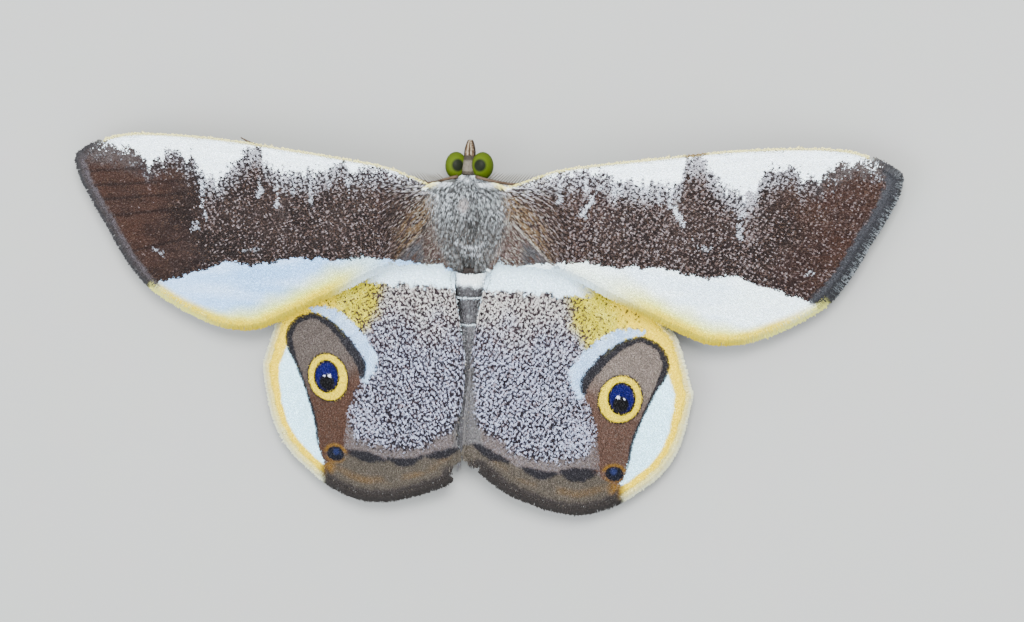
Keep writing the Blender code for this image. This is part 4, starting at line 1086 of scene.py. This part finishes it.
head = {
    "x": -0.42, "count": 2600, "scale": (0.13, 0.05, 0.09), "palpCount": 1200, "palpScale": (0.15, 0.045, 0.025),
    "palp": [
        (0.14, 2.62, 1.86, 0.14, 0.18), (0.15, 3, 1.8, 0.15, 0.18), (0.12, 3.35, 1.72, 0.12, 0.14),
        (0.05, 3.72, 1.62, 0.04, 0.05),
    ],
    "vertex": (0.08, 0.07, 0.056), "brown": (0.05, 0.03, 0.016), "light": (0.3, 0.25, 0.18),
    "dark": (0.01, 0.007, 0.005),
}
for side in sides.values():
    rows = [(*place3(head["x"] + side * x, y, z), a, b) for x, y, z, a, b in head["palp"]]
    addSkin(sweep(rows, 10, 0.2), head["brown"])


def headFur():
    n = int(head["count"] * dense)
    y = 1.95 + 0.95 * draw(n)
    angle = (draw(n) * 2 - 1) * 1.9
    root, along, up = trunkAt(y, angle)
    rim = np.maximum(fade(np.abs(angle), 0.7, 1), np.maximum(fade(y, 2.58, 2.7), fade(y, 2.12, 2.04)))
    tint = jitter(layers(head, "vertex", ("dark", 0.75 * rim)), 0.12)
    place = (root - up * 0.08, -along, up)
    tuftPiece("headScales", vane, place, head["scale"], trunkUv(y, angle), tint, (0.9, 1.1))


def palpFur():
    n = int(head["palpCount"] * dense)
    line = smoothLine(head["palp"], 0.1)
    parts = []
    for side in sides.values():
        t = draw(n) * 0.93
        x, y, z, a, b = valuesAt(t, np.linspace(0, 1, len(line)), line).T
        angle = draw(n) * 2 * math.pi
        normal = columns(np.sin(angle), 0, np.cos(angle))
        root = columns(head["x"] + side * x, y, z) + normal * ((a + b) / 2)[:, None] * 0.95
        along = unit(columns(-side * 0.12 + gauss(0, 0.05, n), 1, -0.12))
        parts.append((root + shift, along, normal, t, side * np.sin(angle)))
    root, along, up, t, outer = (np.concatenate(q) for q in zip(*parts))
    light = (draw(len(t)) < 0.1) * 0.6 + 0.8 * fade(np.abs(outer + 0.2), 0.3, 0.1)
    dark = 0.85 * fade(outer, 0.45, 0.75) + 0.8 * fade(outer, -0.6, -0.8)
    tint = layers(head, "brown", ("light", light), ("dark", dark))
    place = (root, along, squared(up, along))
    tuftPiece("palpScales", vane, place, head["palpScale"], stripUv(outer * 0.2 + 0.5, 0.2 + 0.1 * t), tint, (0.9, 1.1))


headFur()
palpFur()
print("head made")

# feelers: a thin shaft with two rows of side branches, the forward ones short beyond the head
feelers = {
    "line": {
        "right": [
            (0.1, 1.9, 2.6), (0.34, 1.87, 2.8), (0.85, 1.76, 2.86), (2.1, 1.5, 2.46), (4.5, 1.44, 2.16),
            (7.5, 1.86, 1.88), (10, 2.24, 1.64), (11.6, 2.5, 1.5),
        ],
        "left": [
            (0.95, 1.9, 2.6), (1.15, 1.87, 2.8), (1.6, 1.77, 2.8), (2.5, 1.52, 2.42), (4.7, 1.46, 2.14),
            (7.7, 2, 1.86), (10.6, 2.62, 1.6), (12.5, 3.32, 1.46), (13.4, 3.76, 1.4),
        ],
    },
    "shaft": {
        "right": [0.1, 0.085, 0.075, 0.07, 0.06, 0.05, 0.035, 0.015],
        "left": [0.1, 0.085, 0.075, 0.07, 0.06, 0.055, 0.05, 0.075, 0.03],
    },
    "reach": ([1.2, 3.1, 4.2], [1, 1, 0.5]), "bare": both(0.86, 0.93), "branch": (0.058, 0.05), "branches": 66,
    "branchLength": 0.92, "shaftTone": (0.05, 0.032, 0.02), "branchTone": (0.075, 0.06, 0.043),
}


# a limb's values at chosen distances, the way ahead there, and the share of its length
def limbPoints(line, s, run):
    ahead = unit(valuesAt(s, run, np.gradient(line, axis=0)[:, :3]))
    return valuesAt(s, run, line), ahead, s / run[-1]


def feelerBranches(label):
    f = forSide(feelers, label)
    line = smoothLine(f["line"], 0.1)
    run = runOf(line)
    s = np.repeat(np.linspace(0.8, run[-1] * f["bare"], f["branches"]), 2)
    n = len(s)
    forward = np.tile([1, -1], f["branches"])
    root, ahead, share = limbPoints(line, s, run)
    size = f["branchLength"] * np.sin(share ** 0.6 * math.pi) ** 0.5
    size = size * np.where(forward > 0, np.interp(root[:, 0], *f["reach"]), 0.8)
    up = ground((0, 0, 1), n)
    along = unit(np.cross(up, ahead)) * forward[:, None] + ahead * 0.75
    along[:, 2] += gauss(-0.04, 0.04, n)
    mirror = [sides[label], 1, 1]
    tint = jitter(ground(f["branchTone"], n), 0.15)
    place = (root * mirror + shift, unit(along) * mirror, up)
    uv = stripUv(share, 0.5 + 0.1 * forward)
    tuftPiece("feelerBranches" + label.capitalize(), hair, place, (size, *f["branch"]), uv, tint, (0.8, 1.1))


for label, side in sides.items():
    f = forSide(feelers, label)
    rows = [(*place3(side * x, y, z), r, r) for (x, y, z), r in zip(f["line"], f["shaft"])]
    addSkin(sweep(rows, 8, 0.3), f["shaftTone"])
    feelerBranches(label)
print("feelers made")

# hip, knee, ankle and foot of each leg; the feet rest on the floor
legs = {
    "count": 900, "fleckTone": (0.06, 0.045, 0.035), "spurTip": (0.18, 0.14, 0.1),
    "foreleg": [
        (1, 0.5, 1.35, 0.2), (1.5, 0.6, 1.25, 0.24), (2.5, 1.05, 1.28, 0.2), (3.5, 1.35, 0.85, 0.14),
        (4.3, 1.2, 0.22, 0.11), (5.5, 1.05, 0.1, 0.09), (6.05, 1, 0.08, 0.07),
    ],
    "midleg": [
        (1.2, -0.5, 1.2, 0.22), (2.05, -0.7, 1.1, 0.25), (3.4, -1.4, 1.16, 0.21), (5, -2.2, 0.72, 0.15),
        (6, -2.8, 0.24, 0.12), (7.6, -3.6, 0.1, 0.09), (8.15, -3.93, 0.08, 0.07),
    ],
    "hindleg": [
        (0.95, -2, 1.3, 0.22), (1.6, -2.4, 1.14, 0.25), (2.7, -3.7, 1.16, 0.21), (3.6, -5.4, 0.76, 0.15),
        (4.2, -6.8, 0.24, 0.12), (4.9, -8.6, 0.1, 0.09), (5.13, -9.2, 0.08, 0.07),
    ],
    "tone": (0.21, 0.165, 0.115), "scaleTone": (0.3, 0.25, 0.185), "claw": (0.02, 0.012, 0.007),
}


def legCoat(name, label):
    line = smoothLine(legs[name], 0.15)
    run = runOf(line)
    n = int(legs["count"] * dense)
    s = draw(n) * run[-1] * 0.97
    rows, ahead, share = limbPoints(line, s, run)
    angle = draw(n) * 2 * math.pi
    level = unit(np.cross(ahead, ground((0, 0, 1), n)))
    normal = level * np.sin(angle)[:, None] + np.cross(level, ahead) * np.cos(angle)[:, None]
    root = rows[:, :3] + normal * rows[:, 3:4] * 0.92
    keep = root[:, 2] > 0.05
    root, ahead, normal, share, angle = (q[keep] for q in (root, ahead, normal, share, angle))
    tint = jitter(ground(legs["scaleTone"], len(root)), 0.2)
    tint = layers(legs, tint, ("fleckTone", (draw(len(root)) < 0.2) * 0.8))
    mirror = [sides[label], 1, 1]
    place = (root * mirror + shift, ahead * mirror, normal * mirror)
    return (*place, 0.17 - 0.06 * share, stripUv(angle / (2 * math.pi), share), tint)


coats = []
for name in ("foreleg", "midleg", "hindleg"):
    for label, side in sides.items():
        rows = [(*place3(side * x, y, z), r, r) for x, y, z, r in legs[name]]
        addSkin(sweep(rows, 10, 0.3), legs["tone"])
        coats.append(legCoat(name, label))
*place, length, uv, tint = (np.concatenate(q) for q in zip(*coats))
tuftPiece("legScales", vane, place, (length, 0.06, 0.03), uv, tint, (0.9, 1.05))


# pairs of small spikes: spurs on the shins, claws on the feet
def spikes(name, rows, length, width, tones, material):
    root, along = (np.array(q) for q in zip(*rows))
    n = len(rows)
    place = (root + shift, unit(along), ground((0, 0, 1), n))
    uv = columns(np.linspace(0.1, 0.9, n), 0.5)
    tint = tuple(ground(legs[tone], n) for tone in tones)
    tuftPiece(name, hair, place, (length, width, 0.01), uv, tint, (1, 1), material)


def pair(name, at, side, turn, z, dip):
    x, y, height = legs[name][at][:3]
    ahead = unit(np.array(legs[name][at][:3]) - np.array(legs[name][at - 1][:3]))
    place = (side * x, y, height if z is None else z)
    turned = [(ahead[0] - t * ahead[1], ahead[1] + t * ahead[0]) for t in (turn, -turn)]
    return [(place, (side * a, b, ahead[2] * 0.6 + dip)) for a, b in turned]


spurs, claws = [], []
for side in sides.values():
    for name, at in (("midleg", 4), ("hindleg", 3), ("hindleg", 4)):
        spurs += pair(name, at, side, 0.35, None, 0.1)
    for name in ("foreleg", "midleg", "hindleg"):
        claws += pair(name, -1, side, 0.5, 0.1, -0.12)
clawHorn = newMaterial("clawHorn", 0.3, specular=0.5, speckle=0.3, size=9000)
spikes("legSpurs", spurs, 0.55, 0.08, ("tone", "spurTip"), hairCoat)
spikes("footClaws", claws, 0.2, 0.05, ("claw", "claw"), clawHorn)
print("legs made")

eyes = {
    "offset": 0.735, "centre": (2.42, 1.98), "radii": (0.585, 0.75, 0.74), "gazeX": both(0.52, 0.01),
    "gaze": (0.152, 0.962), "lime": (0.03, 0.046, 0.002), "rim": (0.018, 0.027, 0), "dark": (0.0035, 0.0048, 0.0022),
    "stops": ((0.15, "dark"), (0.225, "lime"), (0.9, "rim")), "reach": 1.85, "facets": 26000,
}


def eyeMaterial(name, spot):
    mat = newMaterial(name, 0.5, colour=eyes["lime"], specular=0.04)
    shader, link = mat.node_tree.nodes["Principled BSDF"], mat.node_tree.links.new
    coords = newNode(mat, "TexCoord").outputs["Object"]
    away = newNode(mat, "VectorMath")
    away.operation = "DISTANCE"
    away.inputs[1].default_value = spot
    link(coords, away.inputs[0])
    scale = newNode(mat, "Math")
    scale.operation = "DIVIDE"
    scale.inputs[1].default_value = eyes["reach"] * mm
    link(away.outputs["Value"], scale.inputs[0])
    ramp = newNode(mat, "ValToRGB")
    stops = ramp.color_ramp.elements
    stops.new(0.5)
    for stop, (at, tone) in zip(stops, eyes["stops"]):
        stop.position, stop.color = at, (*eyes[tone], 1)
    link(scale.outputs["Value"], ramp.inputs["Fac"])
    link(ramp.outputs["Color"], shader.inputs["Base Color"])
    facets = newNode(mat, "TexVoronoi", Scale=eyes["facets"], Randomness=0.35)
    link(coords, facets.inputs["Vector"])
    height = newNode(mat, "Bump", Strength=0.25, Distance=0.00001)
    height.invert = True
    link(facets.outputs["Distance"], height.inputs["Height"])
    link(height.outputs["Normal"], shader.inputs["Normal"])
    return mat


for label, side in sides.items():
    centre = Vector(place3(head["x"] + side * eyes["offset"], *eyes["centre"]))
    bm = bmesh.new()
    bmesh.ops.create_icosphere(bm, subdivisions=5, radius=1)
    bmesh.ops.scale(bm, vec=eyes["radii"], verts=bm.verts)
    bmesh.ops.translate(bm, vec=centre, verts=bm.verts)
    piece = fromMesh("eye" + label.capitalize(), bm)
    piece.data.shade_smooth()
    gaze = Vector((eyes["gazeX"][label], *eyes["gaze"])).normalized()
    spot = centre + Vector([g * r for g, r in zip(gaze, eyes["radii"])])
    piece.data.materials.append(eyeMaterial("eyeFacets" + label.capitalize(), tuple(spot * mm)))
    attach(piece, "root")
    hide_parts("eye_" + label)
print("eyes made")

# every soft part becomes one skin
skin = skinParts[0]
with bpy.context.temp_override(
        active_object=skin, object=skin, selected_objects=skinParts, selected_editable_objects=skinParts):
    bpy.ops.object.join()
skin.name = skin.data.name = "mothSkin"
skin.data.materials.clear()
skin.data.materials.append(skinCoat)
skin.data.shade_smooth()
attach(skin, "root")
flesh = ["thorax", "abdomen", "head", "palps"]
for label in sides:
    flesh += [name + "_" + label for name in ("forewing", "hindwing", "antenna", "foreleg", "midleg", "hindleg")]
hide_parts(*flesh)
print("skin joined", len(skin.data.polygons), "faces")

# floor, lights and the photo's viewpoint
studio = {
    "floorSize": 600, "floor": (0.185, 0.19, 0.185), "sky": 3.9, "skyTone": (0.95, 0.97, 1, 1),
    "keyLight": ((0.1, 0.2, 0.36), 6.8, 0.16, (1, 0.99, 0.97)),
    "fillLight": ((-0.3, -0.1, 0.3), 2.2, 0.3, (0.95, 0.97, 1)),
}
bm = bmesh.new()
bmesh.ops.create_grid(bm, x_segments=1, y_segments=1, size=studio["floorSize"])
floor = fromMesh("studioFloor", bm)
floor.data.materials.append(newMaterial("floorPaint", 0.8, colour=studio["floor"], speckle=0.04, size=400))

world = bpy.data.worlds.new("studioSky")
world.use_nodes = True
sky = world.node_tree.nodes["Background"].inputs
sky["Color"].default_value, sky["Strength"].default_value = studio["skyTone"], studio["sky"]
bpy.context.scene.world = world
for name in ("keyLight", "fillLight"):
    spot, power, size, colour = studio[name]
    lamp = bpy.data.lights.new(name, "AREA")
    lamp.energy, lamp.size, lamp.color = power, size, colour
    holder = linked(name, lamp)
    holder.location = spot
    holder.rotation_euler = (-Vector(spot)).to_track_quat("-Z", "Y").to_euler()

lens = {
    "spot": (57.65, 32.337, 241.176), "focal": 161.33,
    "turn": [(0.97426, -0.01688, -0.22479), (-0.01796, 0.98821, -0.15205), (0.22471, 0.15217, 0.96247)],
}
view = bpy.data.cameras.new("photoCamera")
view.lens, view.sensor_width, view.clip_start, view.clip_end = lens["focal"], 36, 0.02, 3
camera = linked("photoCamera", view)
turn = Matrix(lens["turn"]).transposed().to_4x4()
camera.matrix_world = Matrix.Translation(Vector(place3(*lens["spot"])) * mm) @ turn
bpy.context.scene.camera = camera
